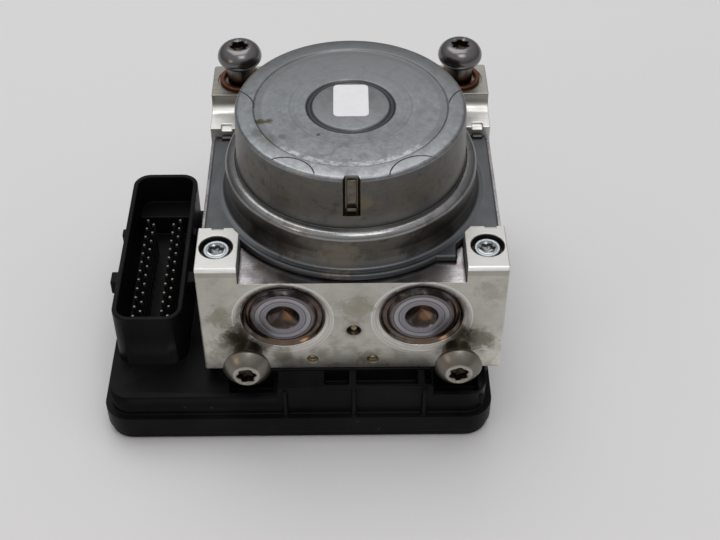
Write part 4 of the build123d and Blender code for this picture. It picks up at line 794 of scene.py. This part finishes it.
def joined(*parts):
    """One mesh of several; a part is a mesh, or (mesh, places)."""
    whole = bmesh.new()
    for part in parts:
        source, places = part if isinstance(part, tuple) else (part, (Matrix.Identity(4),))
        for place in places:
            data = bpy.data.meshes.new("part")
            copy = source.copy()
            bmesh.ops.transform(copy, matrix=place, verts=copy.verts)
            copy.to_mesh(data)
            copy.free()
            whole.from_mesh(data)
            bpy.data.meshes.remove(data)
        source.free()
    return whole


def cad_copy(node, whole=True):
    """Mesh of a CAD node with its loose triangles joined, and its flat faces made whole."""
    bm = bmesh.new()
    bm.from_mesh(frame["nodes"][node].data)
    bmesh.ops.remove_doubles(bm, verts=bm.verts, dist=2e-6)
    if whole:
        bmesh.ops.dissolve_limit(bm, angle_limit=FLAT, verts=bm.verts, edges=bm.edges)
    return bm


def new_object(name, bm):
    data = bpy.data.meshes.new(name)
    bm.to_mesh(data)
    bm.free()
    made = bpy.data.objects.new(name, data)
    bpy.context.scene.collection.objects.link(made)
    return made


def settled(piece):
    """Turn a piece's modifiers into plain mesh."""
    graph = bpy.context.evaluated_depsgraph_get()
    old, piece.data = piece.data, bpy.data.meshes.new_from_object(piece.evaluated_get(graph))
    piece.modifiers.clear()
    bpy.data.meshes.remove(old)
    return piece


def cut(piece, bm):
    """Cut one closed mesh out of a piece."""
    cutter = new_object("cutter", bm)
    modifier = piece.modifiers.new("cut", "BOOLEAN")
    modifier.operation, modifier.solver, modifier.object = "DIFFERENCE", "EXACT", cutter
    settled(piece)
    bpy.data.meshes.remove(cutter.data)


STRAIGHT_ON = -0.77     # cosine between two edges of one run
ROOM_SHARE = 0.45       # of the room beside an edge that its rounding may take
LEAST_SHARE = 0.12      # of the wanted width, under which an edge stays sharp


def room_beside(loop):
    """Distance across a face from one of its edges to the nearest edge that faces it."""
    start, normal = loop.vert.co, loop.face.normal
    along = loop.link_loop_next.vert.co - start
    reach = along.length
    along = along / reach
    inward = normal.cross(along)
    room = 1.0
    for other in loop.face.loops:
        if other in (loop, loop.link_loop_next, loop.link_loop_prev):
            continue
        first, last = other.vert.co - start, other.link_loop_next.vert.co - start
        s0, t0, s1, t1 = first.dot(along), first.dot(inward), last.dot(along), last.dot(inward)
        if s0 > s1:
            s0, t0, s1, t1 = s1, t1, s0, t0
        if s1 < 0 or s0 > reach:
            continue
        slope = (t1 - t0) / (s1 - s0) if s1 > s0 else 0.0
        for away in (t0 + slope * (max(s0, 0.0) - s0), t1 - slope * (s1 - min(s1, reach))):
            if away > 1e-7:
                room = min(room, away)
    return room


def weigh_edges(bm, width, plain):
    """Give each sharp edge a bevel weight, less along a run that has little room beside it."""
    layer = bm.edges.layers.float.new("bevel_weight_edge")
    bm.normal_update()
    left = {edge for edge in bm.edges
            if len(edge.link_faces) == 2 and edge.calc_face_angle() > math.radians(SHARP)}
    for low, high in plain:
        left -= {edge for edge in left if all(low[axis] * MM <= vert.co[axis] <= high[axis] * MM
                                              for vert in edge.verts for axis in range(3))}
    while left:
        run, front = set(), [left.pop()]
        while front:
            edge = front.pop()
            run.add(edge)
            for vert in edge.verts:
                ahead, *others = ((way.other_vert(vert).co - vert.co).normalized()
                                  for way in (edge, *vert.link_edges))
                for other, away in zip(vert.link_edges, others):
                    if other in left and ahead.dot(away) < STRAIGHT_ON:
                        left.discard(other)
                        front.append(other)
        room = min(room_beside(loop) for edge in run for loop in edge.link_loops)
        share = min(1.0, ROOM_SHARE * room / width)
        for edge in run:
            edge[layer] = share if share > LEAST_SHARE else 0.0


def round_edges(piece, width, segments=2, plain=()):
    """Round a piece's sharp edges, apart from those in the plain boxes, and shade it smooth."""
    bm = bmesh.new()
    bm.from_mesh(piece.data)
    weigh_edges(bm, width, plain)
    bm.to_mesh(piece.data)
    bm.free()
    for face in piece.data.polygons:
        face.use_smooth = True
    bevel = piece.modifiers.new("round", "BEVEL")
    bevel.width, bevel.segments, bevel.limit_method = width, segments, "WEIGHT"
    bevel.use_clamp_overlap = False
    bevel.miter_outer = "MITER_ARC"
    normals = piece.modifiers.new("normals", "WEIGHTED_NORMAL")
    normals.weight = 60
    return settled(piece)


def smooth(piece, angle=SHARP):
    """Shade a piece smooth apart from its sharp edges."""
    for face in piece.data.polygons:
        face.use_smooth = True
    piece.data.set_sharp_from_angle(angle=math.radians(angle))
    return piece


def attached(piece, *others):
    """Join other objects into a piece."""
    with bpy.context.temp_override(active_object=piece, selected_editable_objects=[piece, *others]):
        bpy.ops.object.join()
    return piece


def dress(piece, slot, *nodes, material=None, inner=None):
    """Give a finished piece the material of its slot and its body, and hide the CAD nodes that it stands
    for.

    The inner material is for the faces that are marked as the inside of a driver's recess.
    """
    marks = [face.material_index for face in piece.data.polygons]
    piece.data.materials.clear()
    piece.data.materials.append(material or bpy.data.materials[finish_names[slot]])
    if inner is not None:
        piece.data.materials.append(inner)
        piece.data.polygons.foreach_set("material_index", marks)
    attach(piece, ROOT)
    if nodes:
        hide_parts(*nodes)
    return piece


# ---------------------------------------------------------------- geometry node trees
def tree_input(modifier, name, value):
    """Set a modifier's input by its socket's identifier."""
    for item in modifier.node_group.interface.items_tree:
        if item.item_type == "SOCKET" and item.in_out == "INPUT" and item.name == name:
            modifier[item.identifier] = value
            return
    raise KeyError(name)


def on_points(tree, source, out, shape, material, **turn):
    """End a tree with one real copy of a shape on each point, in its material."""
    placed = add(tree, "GeometryNodeInstanceOnPoints", {"Points": source["Geometry"],
                                                        "Instance": shape.outputs[0], **turn})
    real = add(tree, "GeometryNodeRealizeInstances", {0: placed.outputs[0]})
    painted = add(tree, "GeometryNodeSetMaterial", {"Geometry": real.outputs[0], "Material": material})
    link(tree, out["Geometry"], painted.outputs[0])
    return tree


def swept(tree, path, profile):
    """Solid that a profile draws along a path."""
    return add(tree, "GeometryNodeCurveToMesh", {
        "Curve": path.outputs[0], "Profile Curve": profile.outputs[0], "Fill Caps": True})


def contact_tree(material):
    """Square contacts with tapered ends, one on each point."""
    tree, source, out = new_group("contacts", ("Geometry",), "Geometry", Width=0.0008, Length=0.02,
                                  Taper=0.0006)
    body = maths(tree, "SUBTRACT", source["Length"], source["Taper"])
    size = add(tree, "ShaderNodeCombineXYZ", {0: source["Width"], 1: source["Width"], 2: body})
    blade = add(tree, "GeometryNodeMeshCube", {"Size": size.outputs[0]})
    half = add(tree, "ShaderNodeCombineXYZ", {2: maths(tree, "MULTIPLY", body, 0.5)})
    blade = add(tree, "GeometryNodeTransform", {0: blade.outputs[0], "Translation": half.outputs[0]})
    corner = maths(tree, "MULTIPLY", source["Width"], math.sqrt(0.5))
    tip = add(tree, "GeometryNodeMeshCone", {"Vertices": 4, "Side Segments": 2, "Depth": source["Taper"],
                                             "Radius Bottom": corner,
                                             "Radius Top": maths(tree, "MULTIPLY", corner, 0.6)})
    raised = add(tree, "ShaderNodeCombineXYZ", {2: body})
    tip = add(tree, "GeometryNodeTransform", {0: tip.outputs[0], "Translation": raised.outputs[0],
                                              "Rotation": (0.0, 0.0, math.pi / 4)})
    pin = add(tree, "GeometryNodeJoinGeometry")
    for part in (blade, tip):
        tree.links.new(part.outputs[0], pin.inputs[0])
    return on_points(tree, source, out, pin, material)


def arc_tree(material):
    """A scribed arc round each point."""
    tree, source, out = new_group("scribed_arc", ("Geometry",), "Geometry", Radius=0.0095, Width=0.0003,
                                  Start=0.0, Sweep=1.5)
    path = add(tree, "GeometryNodeCurveArc", {
        "Resolution": 32, "Radius": source["Radius"], "Sweep Angle": source["Sweep"],
        "Start Angle": source["Start"]})
    line = add(tree, "GeometryNodeCurvePrimitiveQuadrilateral", {
        "Width": source["Width"], "Height": maths(tree, "MULTIPLY", source["Width"], 0.25)})
    return on_points(tree, source, out, swept(tree, path, line), material)


def thread_tree(material):
    """Screw threads that line the ports, one on each point, running along Y."""
    tree, source, out = new_group("port_threads", ("Geometry",), "Geometry", Radius=0.0045, Pitch=0.001,
                                  Length=0.011, Depth=0.0005)
    turns = maths(tree, "DIVIDE", source["Length"], source["Pitch"])
    reach = maths(tree, "ADD", source["Radius"], source["Depth"])
    spiral = add(tree, "GeometryNodeCurveSpiral", {
        "Resolution": 40, "Rotations": turns, "Start Radius": reach, "End Radius": reach,
        "Height": source["Length"]})
    ridge = add(tree, "GeometryNodeCurvePrimitiveCircle", {"Resolution": 3, "Radius": source["Depth"]})
    return on_points(tree, source, out, swept(tree, spiral, ridge), material,
                     Rotation=(-math.pi / 2, 0.0, 0.0))


def grown(name, points, tree, **inputs):
    """Plain mesh that a geometry node tree grows on points given in metres."""
    data = bpy.data.meshes.new(name)
    data.from_pydata(points, [], [])
    piece = bpy.data.objects.new(name, data)
    bpy.context.scene.collection.objects.link(piece)
    modifier = piece.modifiers.new("grow", "NODES")
    modifier.node_group = tree
    for key, value in inputs.items():
        tree_input(modifier, key.replace("_", " ").capitalize(), value)
    return settled(piece)


# ---------------------------------------------------------------- pieces
class BRAKE_OT_finishes(bpy.types.Operator):
    """Make every finish and paint the CAD pieces with it"""
    bl_idname = "brake.finishes"
    bl_label = "Finishes"

    def execute(self, context):
        for build in (mottle_group, streak_group, ring_group, spot_group, speck_group, band_group,
                      grain_group):
            build()
        finishes = slot_finishes(context.scene.brake_finishes)
        for name, material in finishes.items():
            finish_names[name] = material.name
        slots = {part["node"]: part["material_slot"] for part in frame["record"]["subparts"]}
        for node, made in frame["nodes"].items():
            for holder in made.material_slots:
                holder.material = finishes[slots[node]]
            if not made.material_slots:
                made.data.materials.append(finishes[slots[node]])
        return {"FINISHED"}


class BRAKE_OT_motor_can(bpy.types.Operator):
    """Turn the motor can with its beads, rings and notch, and lay its flange"""
    bl_idname = "brake.motor_can"
    bl_label = "Motor can"

    def execute(self, context):
        size = context.scene.brake_can
        mm = {key: getattr(size, key) / MM for key in CanSizes.__annotations__}
        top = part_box("motor_can")[1].z / MM - PROUD
        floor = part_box("motor_can")[0].z / MM
        plate = floor + mm["plate_thickness"]
        level = top - mm["step_depth"]
        deep = level - mm["groove_depth"]
        bead = mm["bead_top"]
        outside = [
            (37.2, floor, 0), (41.4, floor + 0.3, 0), (41.4, plate - 0.6, 0.1), (40.9, plate + 0.02, 0.3),
            (mm["skirt_foot"] + 0.15, plate + 0.12, 0.8), (mm["skirt"], 64.5, 3.0),
            (mm["skirt"], bead - 0.1, mm["bead_round"]), (mm["upper_foot"] + 0.5, bead, 0.25),
            (mm["upper_foot"] + 0.1, bead - 0.6, 0.15), (mm["upper"], top, mm["rim_round"]),
            (mm["step"] + 0.5, top, 0.3), (mm["step"] - 0.1, level, 0.3),
            (mm["boss_groove"] + 0.1, level, 0.4), (mm["boss_groove"] - 0.5, deep, 0.3),
            (mm["boss"] + 0.4, deep, 0.3), (mm["boss"] - 0.2, level + 0.1, 0.4), (0, level + 0.1, 0)]
        inside = [(0, 87.4, 0), (8.0, 87.4, 0), (8.0, 83.4, 0), (9.6, 83.4, 0), (9.6, 87.4, 0),
                  (32.1, 87.4, 0), (32.1, 69.6, 0), (36.2, 69.6, 0)]
        can = new_object("motor_can_shell", turned(softened(outside + inside),
                                                   context.scene.brake_stage.turned_steps))
        half = mm["notch_width"] / 2
        foot = mm["notch_foot"]
        cut(can, prism([(-half - 0.2, -40.0), (half + 0.2, -40.0), (half, -34.1), (half - 0.75, -32.6),
                        (0.75 - half, -32.6), (-half, -34.1)], foot, top + 1.0))
        smooth(can)
        # side plates, flange and tab in one outline
        radius, side = mm["plate"], mm["plate_side"]
        back, front = 22.3, -24.5
        tab_start, tab_end = 305.7, 316.6
        behind, ahead = (math.degrees(math.asin(reach / radius)) for reach in (back, front))
        outline = (arc(radius, behind, 180 - behind, 72) + [(-side, back), (-side, front)]
                   + arc(radius, 180 - ahead, tab_start, 48) + [(24.9, -34.4), (30.8, -34.4)]
                   + arc(radius, tab_end, 360 + ahead, 6) + [(side, front), (side, back)])
        flange = new_object("motor_can_flange", prism(outline, floor, plate, (arc(38.0, 0, 357, 119),)))
        round_edges(flange, 0.85 * MM, 4)
        ridge = new_object("ridge", joined(
            brick((-1.35, -33.3, foot + 3.4), (1.45, -32.4, top - 1.4)),
            brick((-1.35, -34.1, foot + 1.2), (1.4, -32.4, foot + 2.3))))
        round_edges(ridge, 0.28 * MM, 3)
        lugs = new_object("flange_lugs", joined(*(
            brick((place - 1.6, 20.9, plate - 0.2), (place + 1.6, 22.2, plate + 0.9))
            for place in STAKES)))
        round_edges(lugs, 0.3 * MM, 3)
        attached(can, flange, ridge, lugs)
        dress(can, "can_steel", "motor_can")
        return {"FINISHED"}


class BRAKE_OT_can_marks(bpy.types.Operator):
    """Lay the bare label and the scribed arcs on the can"""
    bl_idname = "brake.can_marks"
    bl_label = "Label and arcs"

    def execute(self, context):
        size = context.scene.brake_marks
        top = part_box("motor_can")[1].z / MM - PROUD
        level = top - context.scene.brake_can.step_depth / MM + 0.1
        wide, tall = size.label_width / 2 / MM, size.label_length / 2 / MM
        corner = size.label_corner / MM
        outline = softened([(-wide, -tall, corner), (wide, -tall, corner), (wide, tall, corner),
                            (-wide, tall, corner)], 8)
        label = new_object("bare_label", prism([(x + 0.1, y + 2.4) for x, y in outline], level - 0.05,
                                               level + size.label_thickness / MM))
        round_edges(label, 0.04 * MM)
        f = Finish("label_paper", context.scene.brake_finishes.label, roughness=0.45, specular=0.4)
        f.tint(f.mottle(2.5, 2.0), tone(212, 211, 213), 0.6)
        f.lift(f.group("grain", Size=0.2)["Height"], 0.004)
        dress(label, "can_steel", material=f.made())
        f = Finish("scribed_line", (0.02, 0.02, 0.022), metallic=0.6, roughness=0.5)
        f.tint(f.mottle(2.0, 3.0), (0.06, 0.06, 0.065), 0.8)
        line = f.made()
        tree = arc_tree(line)
        arcs = None
        for x, y, radius, start, end in ((-18.7, -33.0, 8.5, 8, 122), (19.7, -33.4, 9.2, 66, 172),
                                         (-38.8, -1.7, 10.5, 6, 58), (40.1, -1.9, 11.4, 124, 172)):
            drawn = grown("scribed_arcs", [(x * MM, y * MM, top * MM - 0.000005)], tree, radius=radius * MM,
                          width=size.arc_width, start=math.radians(start),
                          sweep=math.radians(end - start))
            arcs = drawn if arcs is None else attached(arcs, drawn)
        # ends that run over the can's rounded rim follow it down
        can = bmesh.new()
        can.from_mesh(bpy.data.objects["motor_can_shell"].data)
        surface = BVHTree.FromBMesh(can)
        can.free()
        for vert in arcs.data.vertices:
            place = surface.ray_cast(vert.co + Vector((0, 0, 5 * MM)), (0, 0, -1))[0]
            if place is None:
                raise RuntimeError("a scribed arc leaves the can")
            vert.co.z += min(place.z - top * MM, 0.0)
        dress(arcs, "can_steel", material=line)
        return {"FINISHED"}


class BRAKE_OT_block(bpy.types.Operator):
    """Dress the valve block: rounded edges, staking notches, punch marks and port threads"""
    bl_idname = "brake.block"
    bl_label = "Valve block"

    def execute(self, context):
        size = context.scene.brake_block
        block = new_object("valve_block", cad_copy("hydraulic_block"))
        ledge_front = 22.7
        stake, deep = size.stake_width / 2 / MM, size.stake_depth / MM
        punch, mark = size.punch_width / 2 / MM, size.punch_depth / MM
        cutters = []
        for place in STAKES:
            cutters.append(brick((place - stake, ledge_front - 1.0, PAD_TOP - 1.0),
                                 (place + stake, ledge_front + deep, PAD_TOP + 1.0)))
        for place in (-39.3, 40.8):
            cutters.append(brick((place - punch, PAD_BACK - mark, PAD_TOP - 0.35),
                                 (place + punch, PAD_BACK + 1.0, PAD_TOP + 1.0)))
        cut(block, joined(*cutters))
        round_edges(block, size.edge_round)
        dress(block, "block_aluminium", "hydraulic_block")
        thread = thread_tree(bpy.data.materials[finish_names["block_aluminium"]])
        for name, radius, length_mm, places in (
                ("outlet_threads", 4.5, 11.0, ((-33.0, 46.0), (-11.0, 46.0), (11.0, 46.0), (33.0, 46.0))),
                ("inlet_threads", 5.5, 12.6, ((-15.0, 30.5), (15.0, 30.5)))):
            points = [(x * MM, (49.0 - length_mm) * MM, z * MM) for x, z in places]
            made = grown(name, points, thread, radius=radius * MM, pitch=size.thread_pitch,
                         length=length_mm * MM, depth=size.thread_depth)
            dress(smooth(made, 40.0), "block_aluminium")
        return {"FINISHED"}


class BRAKE_OT_caps(bpy.types.Operator):
    """Turn the accumulator caps"""
    bl_idname = "brake.caps"
    bl_label = "Accumulator caps"

    def execute(self, context):
        steps = context.scene.brake_stage.turned_steps
        face, seat = -FRONT, 39.6
        disc = face - 0.6
        section = softened([
            (0, -seat + 2.0, 0), (5.6, -seat + 2.0, 0), (5.6, -seat, 0), (12.4, -seat, 0),
            (12.4, -face + 1.0, 0.1), (12.15, -face + 1.0, 0.1), (11.5, -face + 1.75, 0.5),
            (10.4, -face + 2.0, 0.8), (9.4, -disc, 0.9), (8.6, -disc - 0.02, 0.1), (8.4, -disc + 0.1, 0.05),
            (8.2, -disc, 0.1), (6.95, -disc, 0.1), (6.75, -disc + 0.1, 0.05), (6.55, -disc, 0.1),
            (5.0, -disc, 0.3), (4.5, -disc + 0.6, 0.25), (0.3, -face + 4.0, 0.2), (0, -face + 4.0, 0)])
        for hand, side in (("left", -1), ("right", 1)):
            bm = turned(section, steps)
            # the section's heights run along Y
            place = moved(side * CAP[0], 0, CAP[1]) @ Matrix.Rotation(-math.pi / 2, 4, "X")
            bmesh.ops.transform(bm, matrix=place, verts=bm.verts)
            cap = smooth(new_object(f"accumulator_cap_{hand}_turned", bm))
            dress(cap, "cap_steel", f"accumulator_cap_{hand}")
        return {"FINISHED"}


def swell(start, end, bulge, steps=14):
    """Points of an arc between two section points that bulges away from the axis."""
    first, last = Vector(start), Vector(end)
    along = last - first
    side = Vector((along.y, -along.x))
    # circle through both ends with the wanted rise over its chord
    rise = bulge * along.length
    radius = rise / 2 + along.length_squared / (8 * rise)
    centre = (first + last) / 2 + side.normalized() * (rise - radius)
    half = math.asin(along.length / 2 / radius)
    middle = math.atan2(side.y, side.x)
    return [(centre.x + radius * math.cos(middle - half + 2 * half * step / steps),
             centre.y + radius * math.sin(middle - half + 2 * half * step / steps))
            for step in range(steps + 1)]


def driver_recess(radius, top, depth):
    """Section points of a lobed recess, from its mouth down to its middle."""
    lobe = radius * 0.26
    return [(radius + 0.25, top, lobe * 0.35), (radius, top - 0.35, lobe * 0.8),
            (radius - 0.05, top - depth + 0.1, lobe), (radius - 0.25, top - depth, lobe),
            (0.0, top - depth - 0.35, 0.0)]


class BRAKE_OT_bolts(bpy.types.Operator):
    """Turn the button-headed mounting bolts and their collars"""
    bl_idname = "brake.bolts"
    bl_label = "Mounting bolts"

    def execute(self, context):
        size = context.scene.brake_fasteners
        steps = context.scene.brake_stage.turned_steps
        head, neck = size.bolt_head / MM, size.bolt_neck / MM
        recess = size.bolt_recess / MM
        kinds = {}
        for kind, crown, dome, bulge in (("front", 10.0, 3.2, 0.05), ("back", 13.7, 4.1, 0.17)):
            ring = crown - dome
            body = [(0, -12.0), (3.95, -12.0), (3.95, 0.0), (neck, 0.0), (neck, ring - 2.9)]
            body += swell((neck, ring - 2.8), (head, ring), 0.19)
            body += swell((head, ring), (3.75, crown), bulge)[1:]
            kinds[kind] = turned(body + driver_recess(recess, crown, 2.6), steps)
        backs = [moved(side * BACK_BOLT[0], BACK_BOLT[1], BACK_SEAT)
                 @ Matrix.Rotation(math.radians(turn), 4, "Z") for side, turn in ((-1, 12), (1, 34))]
        fronts = [moved(side * FRONT_BOLT[0], FRONT, FRONT_BOLT[1])
                  @ Matrix.Rotation(math.pi / 2, 4, "X") @ Matrix.Rotation(math.radians(turn), 4, "Z")
                  for side, turn in ((-1, 8), (1, 25))]
        bolts = smooth(new_object("button_bolts", joined((kinds["front"], fronts), (kinds["back"], backs))))
        # painted shade: a dark brown finish inside the bolts' recesses
        recess_shade = recess_finish("painted_recess_shade", (0.05, 0.042, 0.036), (0.11, 0.075, 0.05))
        dress(bolts, "bolt_steel", "mounting_bolts", inner=recess_shade)
        collar = size.collar / MM
        hole, top = 5.4, BACK_SEAT + 1.5
        ring = turned(softened([(hole, BACK_SEAT, 0), (collar, BACK_SEAT, 0.2), (collar, top, 0.5),
                                (hole, top, 0.5)]), steps)
        places = [moved(side * BACK_BOLT[0], BACK_BOLT[1], 0) for side in SIDES]
        dress(smooth(new_object("bolt_collar_rings", joined((ring, places)))), "collar_copper",
              "bolt_collars")
        return {"FINISHED"}


class BRAKE_OT_screws(bpy.types.Operator):
    """Turn the module screws and the small plugs of the drillings"""
    bl_idname = "brake.screws"
    bl_label = "Screws and small plugs"

    def execute(self, context):
        size = context.scene.brake_fasteners
        steps = context.scene.brake_stage.turned_steps
        head = size.screw_head / MM
        seat, top = 60.1, 62.5
        body = softened([(0, 12.0, 0), (2.1, 12.0, 0.3), (2.1, seat, 0), (head, seat, 0.2),
                         (head, top - 0.3, 0.2), (head - 0.3, top, 0.2), (2.9, top, 0.1)])
        screw = turned(body + driver_recess(size.screw_recess / MM, top, 1.6), steps)
        places = [moved(side * SCREW[0], SCREW[1], 0)
                  @ Matrix.Rotation(math.radians(turn), 4, "Z") for side, turn in ((-1, 20), (1, 5))]
        # painted shade inside the screws' recesses, lighter than in the bolts' ones
        light_recess_shade = recess_finish("screw_recess_shade", (0.27, 0.28, 0.285), (0.12, 0.125, 0.125))
        dress(smooth(new_object("pan_screws", joined((screw, places)))), "zinc_screw",
              "module_screws", inner=light_recess_shade)
        out = Matrix.Rotation(math.pi / 2, 4, "X")
        ball = turned(softened([(0, -4.0, 0), (1.7, -4.0, 0.2), (1.7, -1.0, 0.3), (1.35, -0.75, 0.2),
                                (1.15, -0.95, 0.1), (0.95, -0.6, 0.3), (0, -0.32, 0)]), 48)
        plug = turned(softened([(0, -4.0, 0), (2.05, -4.0, 0.2), (2.05, -0.9, 0)])
                      + [(2.04, -0.25, 0.0), (1.98, -0.15, 0.0), (1.75, -0.6, 0.0), (1.3, -1.5, 0.0)]
                      + [(1.25, -1.3), (0.95, -0.95), (0.5, -0.7), (0, -0.62)], 48)
        balls, middle = ([moved(x, FRONT, z) @ out for x, z in places]
                         for places in (((-12.1, 26.0), (6.1, 25.8)), (MIDDLE_PLUG,)))
        # the plugs' marked inner faces take the recesses' painted shade
        dress(smooth(new_object("staked_plugs", joined((ball, balls), (plug, middle)))), "plug_brass",
              "drilling_plugs", inner=bpy.data.materials["painted_recess_shade"])
        return {"FINISHED"}


class BRAKE_OT_springs(bpy.types.Operator):
    """Copy the coil springs from the CAD parts and shade them smooth"""
    bl_idname = "brake.springs"
    bl_label = "Springs"

    def execute(self, context):
        for hand, side in (("left", -1), ("right", 1)):
            for kind, joint, out in (("pump", f"pump_piston_{hand}_stroke", (side, 0, 0)),
                                     ("accumulator", f"accumulator_{hand}_stroke", (0, -1, 0))):
                node = f"{kind}_spring_{hand}"
                spring = smooth(new_object(f"{kind}_coil_{hand}", cad_copy(node, whole=False)), 50.0)
                dress(spring, "turned_steel", node)
                out = Vector(out)
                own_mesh(spring)
        return {"FINISHED"}


class BRAKE_OT_unit(bpy.types.Operator):
    """Round the control unit's housing and cover and set its contacts"""
    bl_idname = "brake.unit"
    bl_label = "Control unit"

    def execute(self, context):
        size = context.scene.brake_unit
        housing = new_object("unit_housing", cad_copy("ecu_housing"))
        groove = ((-58.4, -38.2, 19.0), (-58.15, -37.7, 36.0))
        cut(housing, brick(*groove))
        # the floor round the contacts has no room for rounding
        contact_field = ((-70.0, -40.0, 15.3), (-54.0, 30.0, 19.7))
        round_edges(housing, size.edge_round, 3, (contact_field,))
        dress(housing, "black_plastic", "ecu_housing")
        cover = new_object("unit_cover", cad_copy("ecu_cover"))
        dress(round_edges(cover, size.cover_round), "cover_plastic", "ecu_cover")
        low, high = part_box("connector_pins")
        pitch = size.pin_pitch
        # each column's place and number of contacts; an inner column starts half a pitch further on
        columns = ((-67.3, 12), (-65.3, 11), (-58.7, 11), (-56.7, 12))
        nearest, longest = -31.0 * MM, 12
        points = [(x * MM, nearest + pitch * (longest - count) / 2 + pitch * row, low.z)
                  for x, count in columns for row in range(count)]
        material = bpy.data.materials[finish_names["tinned_contact"]]
        pins = grown("contacts", points, contact_tree(material), width=size.pin_width,
                     length=high.z - low.z, taper=size.pin_taper)
        dress(pins, "tinned_contact", "connector_pins")
        return {"FINISHED"}


class BRAKE_OT_stage(bpy.types.Operator):
    """Lay the pale floor and set the lamps and the camera"""
    bl_idname = "brake.stage"
    bl_label = "Stage"

    def execute(self, context):
        size = context.scene.brake_stage
        scene = context.scene
        scene.view_settings.view_transform = "Standard"
        half, floor_top, floor_foot = size.floor_width / 2 / MM, -0.03, -5.0
        floor = new_object("floor", prism([(-half, -half), (half, -half), (half, half), (-half, half)],
                                          floor_foot, floor_top))
        f = Finish("floor_paper", size.floor, roughness=0.75, specular=0.15)
        f.tint(f.mottle(260.0, 1.0), tuple(c * 0.97 for c in size.floor), 0.8)
        floor.data.materials.append(f.made())
        world = bpy.data.worlds.new("surround")
        world.use_nodes = True
        tree = world.node_tree
        back = tree.nodes["Background"]
        place = add(tree, "ShaderNodeTexCoord").outputs["Generated"]
        height = add(tree, "ShaderNodeSeparateXYZ", {0: place}).outputs[2]
        # the light is dimmer from the horizon down
        low, high = tuple(c * HORIZON for c in size.surround), tuple(size.surround)
        link(tree, back.inputs["Color"], blended(tree, ramp(tree, height, -0.05, 0.75), low, high))
        back.inputs["Strength"].default_value = 1.0
        scene.world = world
        # name, power, place, width and shade of each lamp, which points at the part's foot
        for name, power, place, width, shade in (
                ("overhead", size.lamp, (-0.12, 0.48, 1.20), 1.0, (1.0, 1.0, 1.0)),
                ("fill", size.fill, (0.16, -0.44, 1.15), 0.5, (1.0, 1.0, 1.0)),
                ("glow", size.glow, (-0.85, -0.75, 0.50), 0.30, (1.0, 0.80, 0.60))):
            lamp = bpy.data.lights.new(name, "AREA")
            lamp.energy, lamp.size, lamp.color = power, width, shade
            made = bpy.data.objects.new(name, lamp)
            made.location = place
            made.rotation_euler = (-Vector(place)).to_track_quat("-Z", "Y").to_euler()
            scene.collection.objects.link(made)
        camera = bpy.data.objects.new("camera", bpy.data.cameras.new("camera"))
        camera.data.sensor_width, camera.data.lens = 36.0, LENS
        camera.data.clip_start, camera.data.clip_end = 0.01, 20.0
        camera.location = CAMERA
        camera.rotation_euler = [math.radians(angle) for angle in CAMERA_TURN]
        scene.collection.objects.link(camera)
        scene.camera = camera
        return {"FINISHED"}


STEPS = (BRAKE_OT_finishes, BRAKE_OT_motor_can, BRAKE_OT_can_marks, BRAKE_OT_block, BRAKE_OT_caps,
         BRAKE_OT_bolts, BRAKE_OT_screws, BRAKE_OT_springs, BRAKE_OT_unit, BRAKE_OT_stage)


class BRAKE_PT_panel(bpy.types.Panel):
    """Sidebar panel with every step in order"""
    bl_label = "Brake module"
    bl_idname = "BRAKE_PT_panel"
    bl_space_type = "VIEW_3D"
    bl_region_type = "UI"
    bl_category = "Brake module"

    def draw(self, context):
        for step in STEPS:
            self.layout.operator(step.bl_idname)
        for key in GROUPS:
            box = self.layout.box()
            group = getattr(context.scene, key)
            for name in type(group).__annotations__:
                box.prop(group, name)


GROUPS = {"brake_can": CanSizes, "brake_marks": MarkSizes, "brake_block": BlockSizes,
          "brake_fasteners": FastenerSizes, "brake_unit": UnitSizes, "brake_finishes": Finishes,
          "brake_stage": StageSettings}


def register():
    for group in (*GROUPS.values(), *STEPS, BRAKE_PT_panel):
        bpy.utils.register_class(group)
    for key, group in GROUPS.items():
        setattr(bpy.types.Scene, key, PointerProperty(type=group))


def unregister():
    for key in GROUPS:
        delattr(bpy.types.Scene, key)
    for group in (BRAKE_PT_panel, *reversed(STEPS), *GROUPS.values()):
        bpy.utils.unregister_class(group)


def main():
    register()
    for step in STEPS:
        category, name = step.bl_idname.split(".")
        getattr(getattr(bpy.ops, category), name)()
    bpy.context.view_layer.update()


if __name__ == "__main__":
    main()
